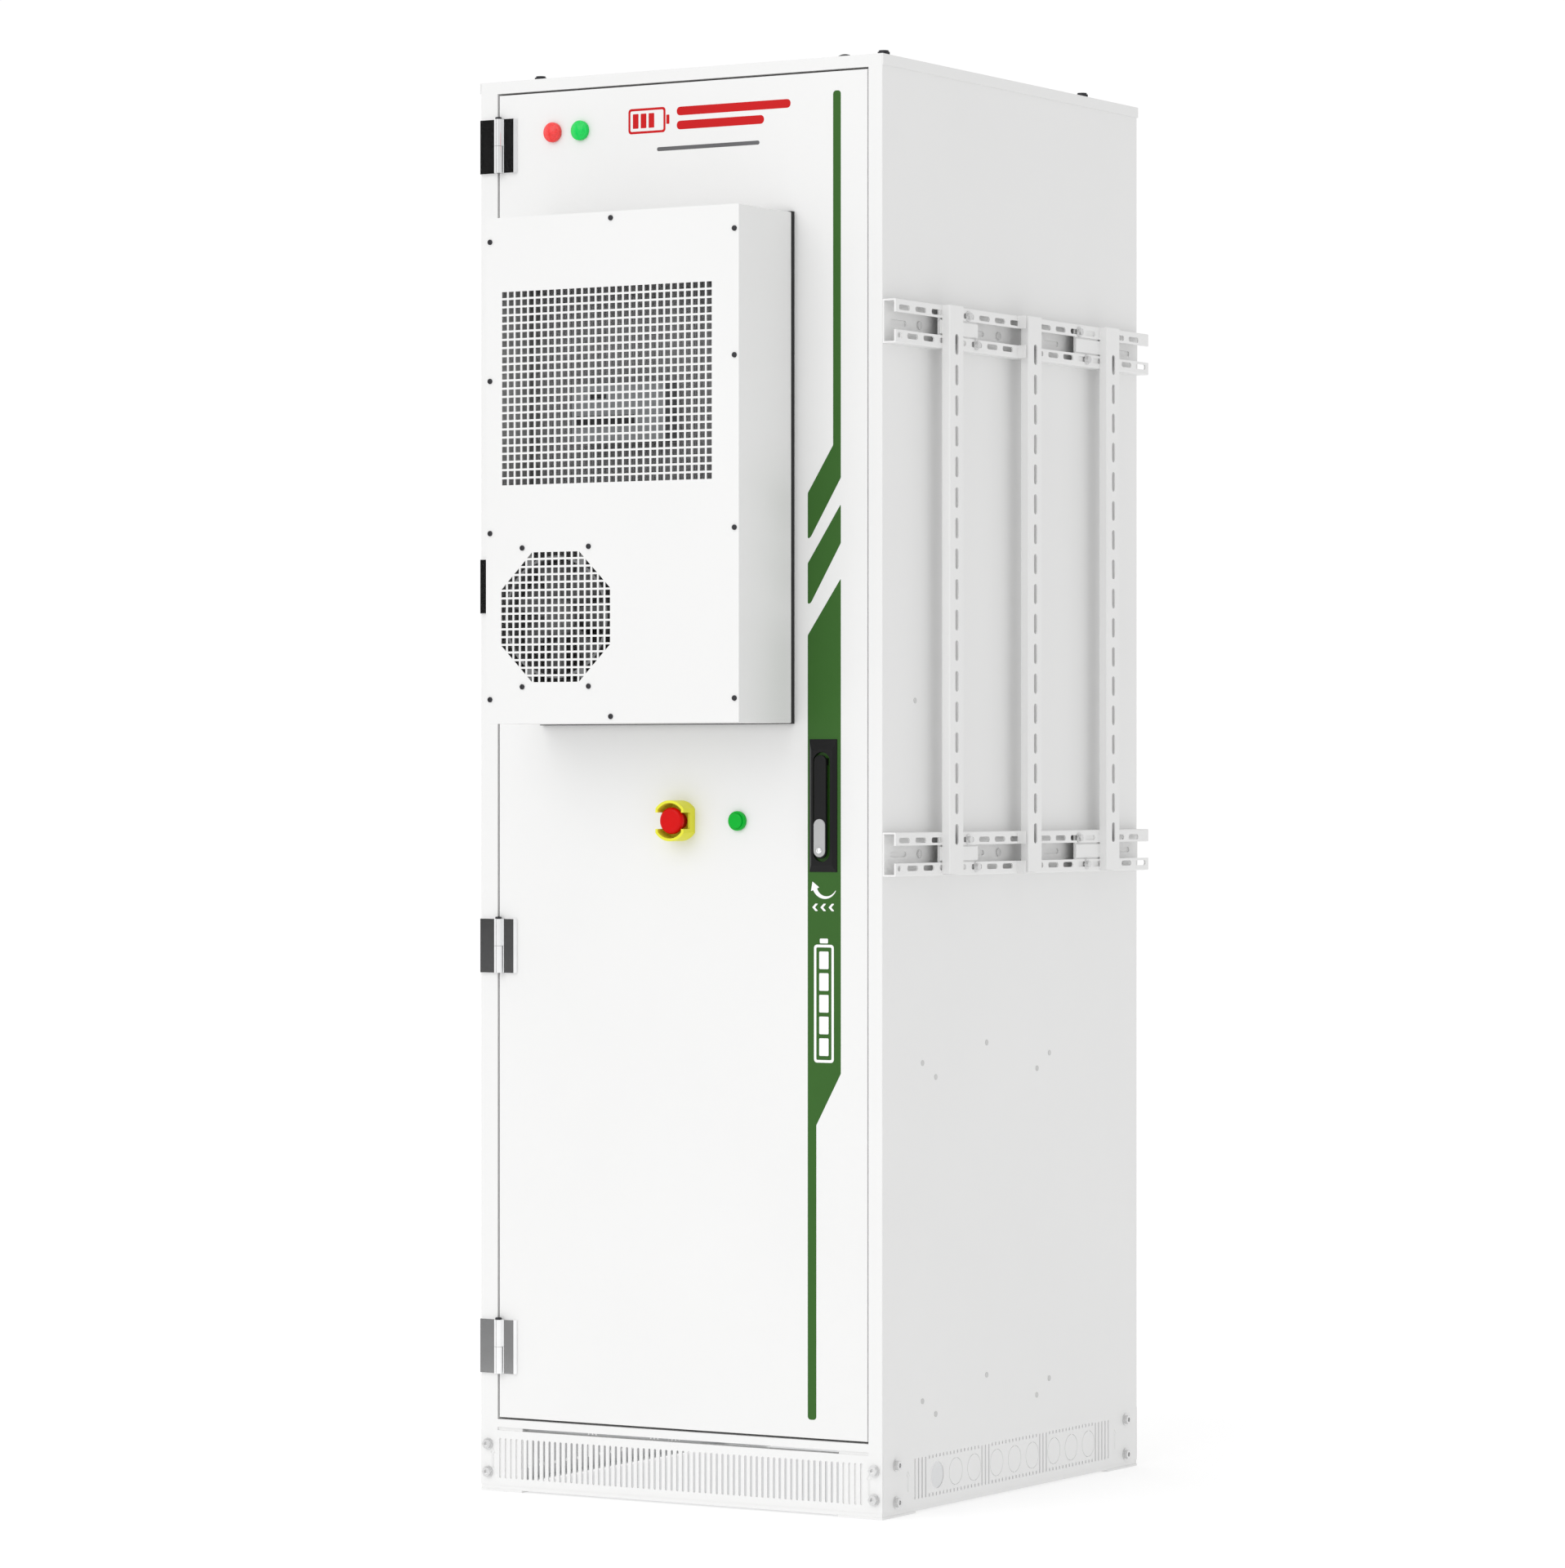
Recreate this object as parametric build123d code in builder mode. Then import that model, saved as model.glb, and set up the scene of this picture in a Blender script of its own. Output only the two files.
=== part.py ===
"""Outdoor battery cabinet with a door-mounted air conditioner and a side rail frame.

Millimetres. +Z is up, the door faces -Y and +X is to the right of someone facing the door.
The origin is on the floor, at the centre of the plinth.
"""
import math
import os

from build123d import *

os.makedirs("parts", exist_ok=True)

# ---------------------------------------------------------------- driving dimensions
WIDTH = 710.0
DEPTH = 800.0
HEIGHT = 2150.0
SHEET = 2.0                      # cabinet and door sheet
FIT = 0.05                       # radial clearance of a running fit

LEFT, RIGHT = -WIDTH / 2, WIDTH / 2
FRONT, REAR = -DEPTH / 2, DEPTH / 2

# plinth
PLINTH_TOP = 93.0
FOOT = 3.0                       # foot plate thickness
PANEL_BOTTOM = 9.5
PANEL_SEAM = 0.3                 # gap where a side sheet meets an end sheet
CORNER_X, CORNER_Y = 75.0, 98.0
ANCHOR_X, ANCHOR_Y = RIGHT - 35.0, REAR - 45.0
ANCHOR_R = 7.0
BODY_BOTTOM = 97.8               # underside of the body's bottom rails
VENT_COUNT, VENT_PITCH, VENT_WIDTH = 65, 9.975, 4.0
VENT_Z, VENT_LENGTH = 50.7, 61.0
KNOCKOUT_Z, KNOCKOUT_R = 50.3, 19.75
KNOCKOUT_PITCH, KNOCKOUT_GROUP = 56.0, 181.4
SIDE_VENT_PITCH, SIDE_VENT_COUNT = 10.66, 58

# frame and skins
POST_DEPTH = 40.0
LEFT_POST_IN, RIGHT_POST_IN = -324.2, 331.5
TOP_RAIL_Z = 2131.5              # underside of the front top rail
BOTTOM_RAIL_TOP = 110.0
REBATE_Y = -370.0                # front face of the strips that the door seals on
REBATE = 18.0
REAR_POST = 30.0
RAIL_TALL = 30.0
SKIN_TOP = HEIGHT - SHEET
ROOF_LIP, ROOF_SKIRT = 1.5, 16.5

# door
DOOR_X = (-320.9, 329.7)
DOOR_Z = (113.2, 2128.5)
DOOR_DEEP = 24.0
DOOR_RETURN = 20.0
DOOR_BACK = FRONT + DOOR_DEEP
HINGE_X, HINGE_Y = -318.0, FRONT - 7.0
HINGE_Z = (221.5, 832.3, 1380.4, 2051.0)
HINGE_HALF, KNUCKLE_R, PIN_R = 41.0, 6.5, 3.0
LEAF = 5.5

# air conditioner on the door
AC_X = (-240.4, 203.6)
AC_Z = (1169.0, 1924.2)
AC_FACE = FRONT - 155.0
AC_SHEET = 1.5
AC_BACK = FRONT - 7.5
AC_MID = sum(AC_X) / 2
AC_HOLE_X, AC_HOLE_Z = (-225.0, 188.0), (1184.0, 1909.0)
MESH_CENTRE, MESH_COLS, MESH_ROWS = (-27.2, 1668.85), 31, 24
MESH_PITCH_X, MESH_PITCH_Z, MESH_WIRE = 12.0, 12.15, 3.0
FAN_CENTRE, FAN_FLATS, FAN_CELLS, FAN_CELL_PITCH = (-116.3, 1327.0), 196.0, 17, 11.55
BLOWER_CENTRE = (-18.4, 1760.0)

# controls on the door
LAMP_RED, LAMP_GREEN = (-222.2, 2067.0), (-172.5, 2067.0)
START, ESTOP = (107.2, 1024.0), (6.6, 1024.0)
PANEL_HOLE_R = 11.2

# swing handle and rod lock
HANDLE_X = 254.8
HOUSING_Z = (949.2, 1144.9)
HOUSING_WIDE, HOUSING_PROUD = 47.0, 6.0
RECESS_Z, RECESS_LONG, RECESS_WIDE = 1045.0, 162.0, 28.5
LEVER_LONG, LEVER_WIDE = 153.0, 20.0
PIVOT_Z = RECESS_Z + (RECESS_LONG - RECESS_WIDE) / 2
PIVOT_Y = FRONT - 2.0
LEVER_BACK, LEVER_FACE = FRONT - 6.4, FRONT - 11.0
SPINDLE_R = 6.0
TOOTH_MODULE, TEETH, PRESSURE = 1.5, 16, math.radians(20)
ADDENDUM, DEDENDUM, BACKLASH = 0.8 * TOOTH_MODULE, 1.05 * TOOTH_MODULE, 0.12
ROD_Y = (-366.0, -360.0)
ROD_WIDE = 10.0
ROD_TOP, ROD_BOTTOM = 2112.3, 129.2

# side rail frame on the right panel
STRUT_Z = (975.4, 1757.5)
STRUT_HALF, STRUT_DEEP, STRUT_SHEET, LIP = 32.3, 22.0, 2.5, 19.4
STRUT_Y = (FRONT + 1.0, REAR - 3.0)
LIP_SLOT_OFFSET, LIP_SLOT_PITCH = 20.5, 48.0
RAIL_Y = (-240.5, 2.3, 255.0)
RAIL_WIDE, RAIL_DEEP, RAIL_Z = 42.0, 13.4, (945.5, 1789.5)
RAIL_SLOT_TOP, RAIL_SLOT_PITCH, RAIL_SLOTS = 1732.0, 45.5, 17

# inside the cabinet
MODULE = (500.0, 620.0, 240.0)
MODULE_COUNT, MODULE_PITCH, MODULE_FIRST = 6, 290.0, 153.0
MODULE_FRONT = -288.0
CONTROL_Z = (1925.0, 2100.0)


# ---------------------------------------------------------------- helpers
def span(a, b):
    """The pair in rising order."""
    return (min(a, b), max(a, b))


def block(x, y, z, mode=Mode.ADD):
    """A box between the low and high values of each axis."""
    spans = (x, y, z)
    with Locations(tuple((low + high) / 2 for low, high in spans)):
        Box(*(high - low for low, high in spans), mode=mode)


def facing_front(y):
    """Plane at y that looks out of the door: its own axes are X and Z."""
    return Plane(origin=(0, y, 0), x_dir=(1, 0, 0), z_dir=(0, -1, 0))


def facing_rear(y):
    return Plane(origin=(0, y, 0), x_dir=(-1, 0, 0), z_dir=(0, 1, 0))


def facing_right(x):
    """Plane at x that looks out of the right side: its own axes are Y and Z."""
    return Plane(origin=(x, 0, 0), x_dir=(0, 1, 0), z_dir=(1, 0, 0))


def facing_left(x):
    return Plane(origin=(x, 0, 0), x_dir=(0, -1, 0), z_dir=(-1, 0, 0))


def discs(plane, centres, radius, length, mode=Mode.ADD):
    """One cylinder from the plane at each centre."""
    with BuildSketch(plane) as outline:
        with Locations(*centres):
            Circle(radius)
    extrude(outline.sketch, amount=length, mode=mode)


def hexagons(plane, centres, across_flats, length):
    with BuildSketch(plane) as outline:
        with Locations(*centres):
            RegularPolygon(across_flats / 2, 6, major_radius=False)
    extrude(outline.sketch, amount=length)


def slots(plane, centres, length, width, depth, turn=0.0):
    """Cut one slot at each centre."""
    with BuildSketch(plane) as outline:
        with Locations(*centres):
            SlotOverall(length, width, rotation=turn)
    extrude(outline.sketch, amount=-depth, mode=Mode.SUBTRACT)


def tube(x, y, z, along, wall=SHEET):
    """A box section that is open at both ends along the axis number given."""
    inner = [(low + wall, high - wall) for low, high in (x, y, z)]
    inner[along] = (x, y, z)[along]
    block(x, y, z)
    block(*inner, mode=Mode.SUBTRACT)


def save(part, name):
    part.label = name
    export_step(part, f"parts/{name}.step")


# ---------------------------------------------------------------- plinth
with BuildPart() as plinth_brackets:
    for side in (-1, 1):
        for end in (-1, 1):
            outer_x, outer_y = side * (RIGHT - SHEET), end * (REAR - SHEET)
            x = span(side * (RIGHT - CORNER_X), outer_x)
            y = span(end * (REAR - CORNER_Y), outer_y)
            block(span(x[0], side * RIGHT) if side > 0 else span(side * RIGHT, x[1]),
                  span(y[0], end * REAR) if end > 0 else span(end * REAR, y[1]), (0, FOOT))
            block(span(outer_x - side * 3, outer_x), y, (FOOT, PLINTH_TOP))
            block(x, span(outer_y - end * 3, outer_y), (FOOT, PLINTH_TOP))
            block(x, y, (PLINTH_TOP - 3, BODY_BOTTOM))
            if end > 0:
                post_in = side * (RIGHT - SHEET - REAR_POST)
            else:
                post_in = RIGHT_POST_IN if side > 0 else LEFT_POST_IN
            block(span(post_in, outer_x), span(end * (REAR - POST_DEPTH - SHEET * (end > 0)), outer_y),
                  (PLINTH_TOP, BODY_BOTTOM), mode=Mode.SUBTRACT)
    anchors = [(side * ANCHOR_X, end * ANCHOR_Y) for side in (-1, 1) for end in (-1, 1)]
    discs(Plane.XY, anchors, ANCHOR_R, FOOT, mode=Mode.SUBTRACT)

END_BOLTS = [(side * 341.4, z) for side in (-1, 1) for z in (29.0, 71.5)]
SIDE_BOLTS = [(end * 360.0, z) for end in (-1, 1) for z in (21.9, 76.6)]
BOLT_HOLE_R, BOLT_R = 4.5, 4.0


def arrows(plane, centres):
    """Engrave an upward arrow at each centre."""
    with BuildSketch(plane) as outline:
        with Locations(*centres):
            Polygon((-1.5, -15), (1.5, -15), (1.5, 8), (4.5, 8), (0, 15.5), (-4.5, 8), (-1.5, 8),
                    align=None)
    with BuildSketch(plane) as hollow:
        with Locations(*centres):
            Polygon((-0.9, -14.4), (0.9, -14.4), (0.9, 8.6), (3.4, 8.6), (0, 14.2), (-3.4, 8.6),
                    (-0.9, 8.6), align=None)
    extrude(outline.sketch - hollow.sketch, amount=-0.5, mode=Mode.SUBTRACT)


def end_panel(plane):
    """Slotted sheet across one end of the plinth, drawn on the plane of its outer face."""
    with BuildPart() as panel:
        with BuildSketch(plane) as outline:
            with Locations((0, (PANEL_BOTTOM + PLINTH_TOP) / 2)):
                Rectangle(WIDTH, PLINTH_TOP - PANEL_BOTTOM)
        extrude(outline.sketch, amount=-SHEET)
        with BuildSketch(plane.offset(-0.8)) as joggle:
            with Locations((0, (FOOT + PANEL_BOTTOM) / 2)):
                Rectangle(WIDTH - 1.6, PANEL_BOTTOM - FOOT)
        extrude(joggle.sketch, amount=-1.2)
        flange = WIDTH - 2 * CORNER_X - 2
        with BuildSketch(plane) as flanges:
            for z in (FOOT + 1, PLINTH_TOP - 1):
                with Locations((0, z)):
                    Rectangle(flange, 2)
        extrude(flanges.sketch, amount=-18)
        with BuildSketch(plane) as trim:
            with Locations((0, FOOT + 1)):
                Rectangle(flange, 2)
        extrude(trim.sketch, amount=-0.8, mode=Mode.SUBTRACT)
        with BuildSketch(plane) as vents:
            with Locations((0, VENT_Z)):
                with GridLocations(VENT_PITCH, 1, VENT_COUNT, 1):
                    SlotOverall(VENT_LENGTH, VENT_WIDTH, rotation=90)
        extrude(vents.sketch, amount=-SHEET, mode=Mode.SUBTRACT)
        discs(plane, END_BOLTS, BOLT_HOLE_R, -SHEET, mode=Mode.SUBTRACT)
        arrows(plane, [(side * 332.6, 50.0) for side in (-1, 1)])
    return panel.part


def side_panel(plane):
    """Slotted sheet along one side of the plinth with three groups of cable knock-outs."""
    long = DEPTH - 2 * (SHEET + PANEL_SEAM)
    full = set(range(0, 4)) | set(range(19, 22)) | set(range(36, 39)) | set(range(53, 58))
    first = -(SIDE_VENT_COUNT - 1) * SIDE_VENT_PITCH / 2
    vents = [first + i * SIDE_VENT_PITCH for i in range(SIDE_VENT_COUNT)]
    knockouts = [(group * KNOCKOUT_GROUP + i * KNOCKOUT_PITCH, KNOCKOUT_Z)
                 for group in (-1, 0, 1) for i in (-1, 0, 1)]
    with BuildPart() as panel:
        with BuildSketch(plane) as outline:
            with Locations((0, (PANEL_BOTTOM + PLINTH_TOP) / 2)):
                Rectangle(long, PLINTH_TOP - PANEL_BOTTOM)
        extrude(outline.sketch, amount=-SHEET)
        with BuildSketch(plane.offset(-0.8)) as joggle:
            with Locations((0, (FOOT + PANEL_BOTTOM) / 2)):
                Rectangle(long, PANEL_BOTTOM - FOOT)
        extrude(joggle.sketch, amount=-1.2)
        with BuildSketch(plane.offset(-0.8)) as flanges:
            for z in (FOOT + 1, PLINTH_TOP - 1):
                with Locations((0, z)):
                    Rectangle(DEPTH - 2 * CORNER_Y - 2, 2)
        extrude(flanges.sketch, amount=-17.2)
        long_vents = [(y, VENT_Z) for i, y in enumerate(vents) if i in full]
        short_vents = [(y, z) for i, y in enumerate(vents) if i not in full for z in (22.8, 79.4)]
        slots(plane, long_vents, VENT_LENGTH, 3.6, SHEET, turn=90)
        slots(plane, short_vents, 5.6, 3.6, SHEET, turn=90)
        discs(plane, [knockouts[0]], KNOCKOUT_R, -SHEET, mode=Mode.SUBTRACT)
        with BuildSketch(plane) as rings:
            with Locations(*knockouts[1:]):
                Circle(KNOCKOUT_R + 0.7)
                Circle(KNOCKOUT_R, mode=Mode.SUBTRACT)
                Rectangle(3, 50, mode=Mode.SUBTRACT)
        extrude(rings.sketch, amount=-SHEET, mode=Mode.SUBTRACT)
        discs(plane, SIDE_BOLTS, BOLT_HOLE_R, -SHEET, mode=Mode.SUBTRACT)
        arrows(plane, [(end * 324.8, 49.0) for end in (-1, 1)])
    return panel.part


with BuildPart() as plinth_panels:
    add(end_panel(facing_front(FRONT)))
    add(end_panel(facing_rear(REAR)))
    add(side_panel(facing_right(RIGHT)))
    add(side_panel(facing_left(LEFT)))

PLINTH_FACES = [(facing_front(FRONT), END_BOLTS), (facing_rear(REAR), END_BOLTS),
                (facing_right(RIGHT), SIDE_BOLTS), (facing_left(LEFT), SIDE_BOLTS)]
WASHER = 1.6

with BuildPart(mode=Mode.PRIVATE) as corner_drill:
    for plane, centres in PLINTH_FACES:
        discs(plane.offset(-SHEET), centres, BOLT_HOLE_R, -3.5)
with BuildPart() as plinth_corners:
    add(plinth_brackets.part)
    add(corner_drill.part, mode=Mode.SUBTRACT)

with BuildPart() as plinth_bolts:
    for plane, centres in PLINTH_FACES:
        discs(plane, centres, 9.0, WASHER)
        hexagons(plane.offset(WASHER), centres, 13.0, 5.3)
        discs(plane, centres, BOLT_R, -14.0)
    for plane, centres in PLINTH_FACES:
        discs(plane.offset(WASHER + 5.3), centres, 3.4, -3.0, mode=Mode.SUBTRACT)

# ---------------------------------------------------------------- body frame and skins
FRONT_POSTS = [(LEFT + SHEET, LEFT_POST_IN), (RIGHT_POST_IN, RIGHT - SHEET)]
REAR_POSTS = [(LEFT + SHEET, LEFT + SHEET + REAR_POST), (RIGHT - SHEET - REAR_POST, RIGHT - SHEET)]
INNER_REAR = REAR - SHEET

with BuildPart() as corner_posts:
    for post in FRONT_POSTS:
        tube(post, (FRONT, FRONT + POST_DEPTH), (PLINTH_TOP, SKIN_TOP), along=2)
    for post in REAR_POSTS:
        tube(post, (INNER_REAR - POST_DEPTH, INNER_REAR), (PLINTH_TOP, SKIN_TOP), along=2)

with BuildPart() as frame_rails:
    for z in ((BODY_BOTTOM, BOTTOM_RAIL_TOP), (TOP_RAIL_Z, SKIN_TOP)):
        tube((LEFT_POST_IN, RIGHT_POST_IN), (FRONT, FRONT + POST_DEPTH), z, along=0)
    for z in ((BODY_BOTTOM, BODY_BOTTOM + RAIL_TALL), (SKIN_TOP - RAIL_TALL, SKIN_TOP)):
        tube((REAR_POSTS[0][1], REAR_POSTS[1][0]), (INNER_REAR - POST_DEPTH, INNER_REAR), z, along=0)
        for post in REAR_POSTS:
            tube(post, (FRONT + POST_DEPTH, INNER_REAR - POST_DEPTH), z, along=1)

with BuildPart() as rebate_strips:
    strip_y = (REBATE_Y, REBATE_Y + SHEET)
    opening_x = (LEFT_POST_IN + 20.0, RIGHT_POST_IN - REBATE)
    block((LEFT_POST_IN, opening_x[0]), strip_y, (BOTTOM_RAIL_TOP, TOP_RAIL_Z))
    block((opening_x[1], RIGHT_POST_IN), strip_y, (BOTTOM_RAIL_TOP, TOP_RAIL_Z))
    block(opening_x, strip_y, (TOP_RAIL_Z - REBATE, TOP_RAIL_Z))
    block(opening_x, strip_y, (BOTTOM_RAIL_TOP, BOTTOM_RAIL_TOP + REBATE))

GLANDS = [(x, -250.0) for x in (-120.0, -40.0, 40.0, 120.0)]
GLAND_R, GLAND_BORE_R = 16.0, 10.0
PAN_Z = 102.0

with BuildPart() as base_pan:
    block((REAR_POSTS[0][1], REAR_POSTS[1][0]), (FRONT + POST_DEPTH, INNER_REAR - POST_DEPTH),
          (PAN_Z, PAN_Z + SHEET))
    discs(Plane.XY.offset(PAN_Z), GLANDS, GLAND_R + 0.2, SHEET, mode=Mode.SUBTRACT)

with BuildPart() as cable_glands:
    discs(Plane.XY.offset(PAN_Z - 18), GLANDS, GLAND_R, 44)
    hexagons(Plane.XY.offset(PAN_Z - 9), GLANDS, 40.0, 9)
    hexagons(Plane.XY.offset(PAN_Z + SHEET), GLANDS, 40.0, 8)
    discs(Plane.XY.offset(PAN_Z - 18), GLANDS, GLAND_BORE_R, 44, mode=Mode.SUBTRACT)

PLUGS = [(y - REAR, z) for y, z in (
    (95.8, 1202.3), (118.2, 665.2), (157.8, 642.7), (313.0, 688.2), (510.7, 665.0), (471.0, 642.7),
    (313.0, 186.1), (510.0, 163.7), (470.2, 141.5), (118.2, 163.7), (157.8, 141.2))]
PLUG_R = 3.0
WEB_BOLTS = [(y, z) for y in (-297.0, -57.0, 297.0) for z in STRUT_Z]
WEB_BOLT_R = 3.0

with BuildPart() as side_panels:
    for inner, outer in ((RIGHT - SHEET, RIGHT), (LEFT, LEFT + SHEET)):
        block((inner, outer), (FRONT, REAR), (PLINTH_TOP, SKIN_TOP))
    long_edges = side_panels.edges().filter_by(Axis.Z)
    fillet(long_edges.filter_by(lambda e: abs(abs(e.center().X) - RIGHT) < 0.1), radius=1.2)
    discs(facing_right(RIGHT), PLUGS, PLUG_R, -SHEET, mode=Mode.SUBTRACT)
    discs(facing_right(RIGHT), WEB_BOLTS, WEB_BOLT_R + 0.2, -SHEET, mode=Mode.SUBTRACT)

with BuildPart() as rear_panel:
    block((LEFT + SHEET, RIGHT - SHEET), (INNER_REAR, REAR), (PLINTH_TOP, SKIN_TOP))

LIFT_POINTS = [(side * 305.0, end * 310.0) for side in (-1, 1) for end in (-1, 1)]
LIFT_R = 6.0
ANTENNA = (144.0, -150.0)

with BuildPart() as roof_panel:
    block((LEFT - ROOF_LIP, RIGHT + ROOF_LIP), (FRONT, REAR + ROOF_LIP), (HEIGHT - ROOF_SKIRT, HEIGHT))
    block((LEFT, RIGHT), (FRONT, REAR), (HEIGHT - ROOF_SKIRT, SKIN_TOP), mode=Mode.SUBTRACT)
    top_edges = roof_panel.faces().sort_by(Axis.Z)[-1].edges()
    fillet(top_edges.filter_by(lambda e: e.center().Y > FRONT + 1), radius=1.2)
    discs(Plane.XY.offset(SKIN_TOP), LIFT_POINTS, LIFT_R + 0.2, SHEET, mode=Mode.SUBTRACT)
    discs(Plane.XY.offset(SKIN_TOP), [ANTENNA], 8.2, SHEET, mode=Mode.SUBTRACT)

with BuildPart() as lifting_bolts:
    discs(Plane.XY.offset(HEIGHT), LIFT_POINTS, 13.0, 2.5)
    hexagons(Plane.XY.offset(HEIGHT + 2.5), LIFT_POINTS, 18.0, 11.5)
    discs(Plane.XY.offset(HEIGHT + 14), LIFT_POINTS, 7.5, 2.5)
    discs(Plane.XY.offset(HEIGHT), LIFT_POINTS, LIFT_R, -16)

with BuildPart() as roof_antenna:
    with BuildSketch(Plane.XZ.offset(-ANTENNA[1])) as half:
        with BuildLine():
            Polyline((ANTENNA[0], HEIGHT), (ANTENNA[0] + 23, HEIGHT), (ANTENNA[0] + 23, HEIGHT + 9))
            Line((ANTENNA[0] + 23, HEIGHT + 9), (ANTENNA[0] + 17, HEIGHT + 28))
            TangentArc((ANTENNA[0], HEIGHT + 39), (ANTENNA[0] + 17, HEIGHT + 28), tangent=(1, 0))
            Line((ANTENNA[0], HEIGHT + 39), (ANTENNA[0], HEIGHT))
        make_face()
    revolve(axis=Axis((ANTENNA[0], ANTENNA[1], 0), (0, 0, 1)))
    discs(Plane.XY.offset(HEIGHT), [ANTENNA], 8.0, -14)

with BuildPart() as hole_plugs:
    discs(facing_right(RIGHT), PLUGS, PLUG_R + 1.2, 0.8)
    discs(facing_right(RIGHT), PLUGS, PLUG_R - 0.05, -4)

# ---------------------------------------------------------------- hinges
PIN_CAP_R = 5.0
KNUCKLE_GAP = KNUCKLE_R + 0.7

with BuildPart() as frame_hinge_leaves:
    for z in HINGE_Z:
        block((LEFT + 1, HINGE_X - KNUCKLE_GAP), (FRONT - LEAF, FRONT), (z - HINGE_HALF, z + HINGE_HALF))
        block((HINGE_X - KNUCKLE_GAP, HINGE_X), (FRONT - LEAF, FRONT - 0.5), (z - HINGE_HALF, z - 0.2))
    outer = frame_hinge_leaves.edges().filter_by(lambda e: abs(e.center().X - LEFT - 1) < 0.1)
    chamfer(outer.filter_by(lambda e: abs(e.center().Y - FRONT + LEAF) < 0.1), length=1.6)
    for z in HINGE_Z:
        discs(Plane.XY.offset(z - HINGE_HALF), [(HINGE_X, HINGE_Y)], KNUCKLE_R, HINGE_HALF - 0.2)
        discs(Plane.XY.offset(z - HINGE_HALF), [(HINGE_X, HINGE_Y)], PIN_R, HINGE_HALF, mode=Mode.SUBTRACT)

with BuildPart() as door_hinge_leaves:
    for z in HINGE_Z:
        block((HINGE_X + KNUCKLE_GAP, -288.0), (FRONT - LEAF, FRONT), (z - HINGE_HALF, z + HINGE_HALF))
        block((HINGE_X, HINGE_X + KNUCKLE_GAP), (FRONT - LEAF, FRONT - 0.5), (z + 0.2, z + HINGE_HALF))
    outer = door_hinge_leaves.edges().filter_by(lambda e: abs(e.center().X + 288.0) < 0.1)
    chamfer(outer.filter_by(lambda e: abs(e.center().Y - FRONT + LEAF) < 0.1), length=3.5)
    for z in HINGE_Z:
        discs(Plane.XY.offset(z + 0.2), [(HINGE_X, HINGE_Y)], KNUCKLE_R, HINGE_HALF - 0.2)
        discs(Plane.XY.offset(z), [(HINGE_X, HINGE_Y)], PIN_R + FIT, HINGE_HALF + 0.2, mode=Mode.SUBTRACT)

with BuildPart() as hinge_pins:
    for z in HINGE_Z:
        discs(Plane.XY.offset(z - HINGE_HALF), [(HINGE_X, HINGE_Y)], PIN_R, 2 * HINGE_HALF + 2)
        discs(Plane.XY.offset(z + HINGE_HALF + 0.3), [(HINGE_X, HINGE_Y)], PIN_CAP_R, 3.2)
    caps = hinge_pins.edges().filter_by(GeomType.CIRCLE)
    fillet(caps.filter_by(lambda e: abs(e.radius - PIN_CAP_R) < 0.1).filter_by(
        lambda e: any(abs(e.center().Z - z - HINGE_HALF - 3.5) < 0.1 for z in HINGE_Z)), radius=1.6)

# ---------------------------------------------------------------- side rail frame
STRUT_FACE = RIGHT + STRUT_DEEP
WEB_FACE = RIGHT + STRUT_SHEET


def lip_slots(z, shift):
    """Centres of the slots along one lip; the pattern is cut off at the channel's ends."""
    first = FRONT + 27.2 + shift
    places = [first + i * LIP_SLOT_PITCH for i in range(16)]
    return [(y, z) for y in places if y < STRUT_Y[1] - 20]


with BuildPart() as strut_channels:
    for z in STRUT_Z:
        block((RIGHT, WEB_FACE), STRUT_Y, (z - STRUT_HALF, z + STRUT_HALF))
        for side in (-1, 1):
            edge = z + side * STRUT_HALF
            block((RIGHT, STRUT_FACE), STRUT_Y, span(edge, edge - side * STRUT_SHEET))
            block((STRUT_FACE - STRUT_SHEET, STRUT_FACE), STRUT_Y, span(edge, edge - side * LIP))
    bends = strut_channels.edges().filter_by(Axis.Y).filter_by(
        lambda e: abs(e.center().X - STRUT_FACE) < 0.1 and any(
            abs(abs(e.center().Z - z) - STRUT_HALF) < 0.1 for z in STRUT_Z))
    fillet(bends, radius=1.8)
    for z in STRUT_Z:
        slots(facing_right(STRUT_FACE), lip_slots(z + LIP_SLOT_OFFSET, 0), 32.0, 8.0, STRUT_SHEET)
        slots(facing_right(STRUT_FACE), lip_slots(z - LIP_SLOT_OFFSET, LIP_SLOT_PITCH / 2),
              32.0, 8.0, STRUT_SHEET)
        slots(facing_right(STRUT_FACE), [(FRONT + 13.0, z - LIP_SLOT_OFFSET)], 12.0, 8.0, STRUT_SHEET)
        web_slots = [(y, z) for y in (-358.0, -123.5, 111.0, 345.5)]
        slots(facing_right(WEB_FACE), web_slots, 48.0, 8.0, STRUT_SHEET)
    discs(facing_right(WEB_FACE), WEB_BOLTS, WEB_BOLT_R + 0.2, -STRUT_SHEET, mode=Mode.SUBTRACT)

RAIL_FACE = STRUT_FACE + RAIL_DEEP
RAIL_SLOT_Z = [RAIL_SLOT_TOP - i * RAIL_SLOT_PITCH for i in range(RAIL_SLOTS)]

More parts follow.
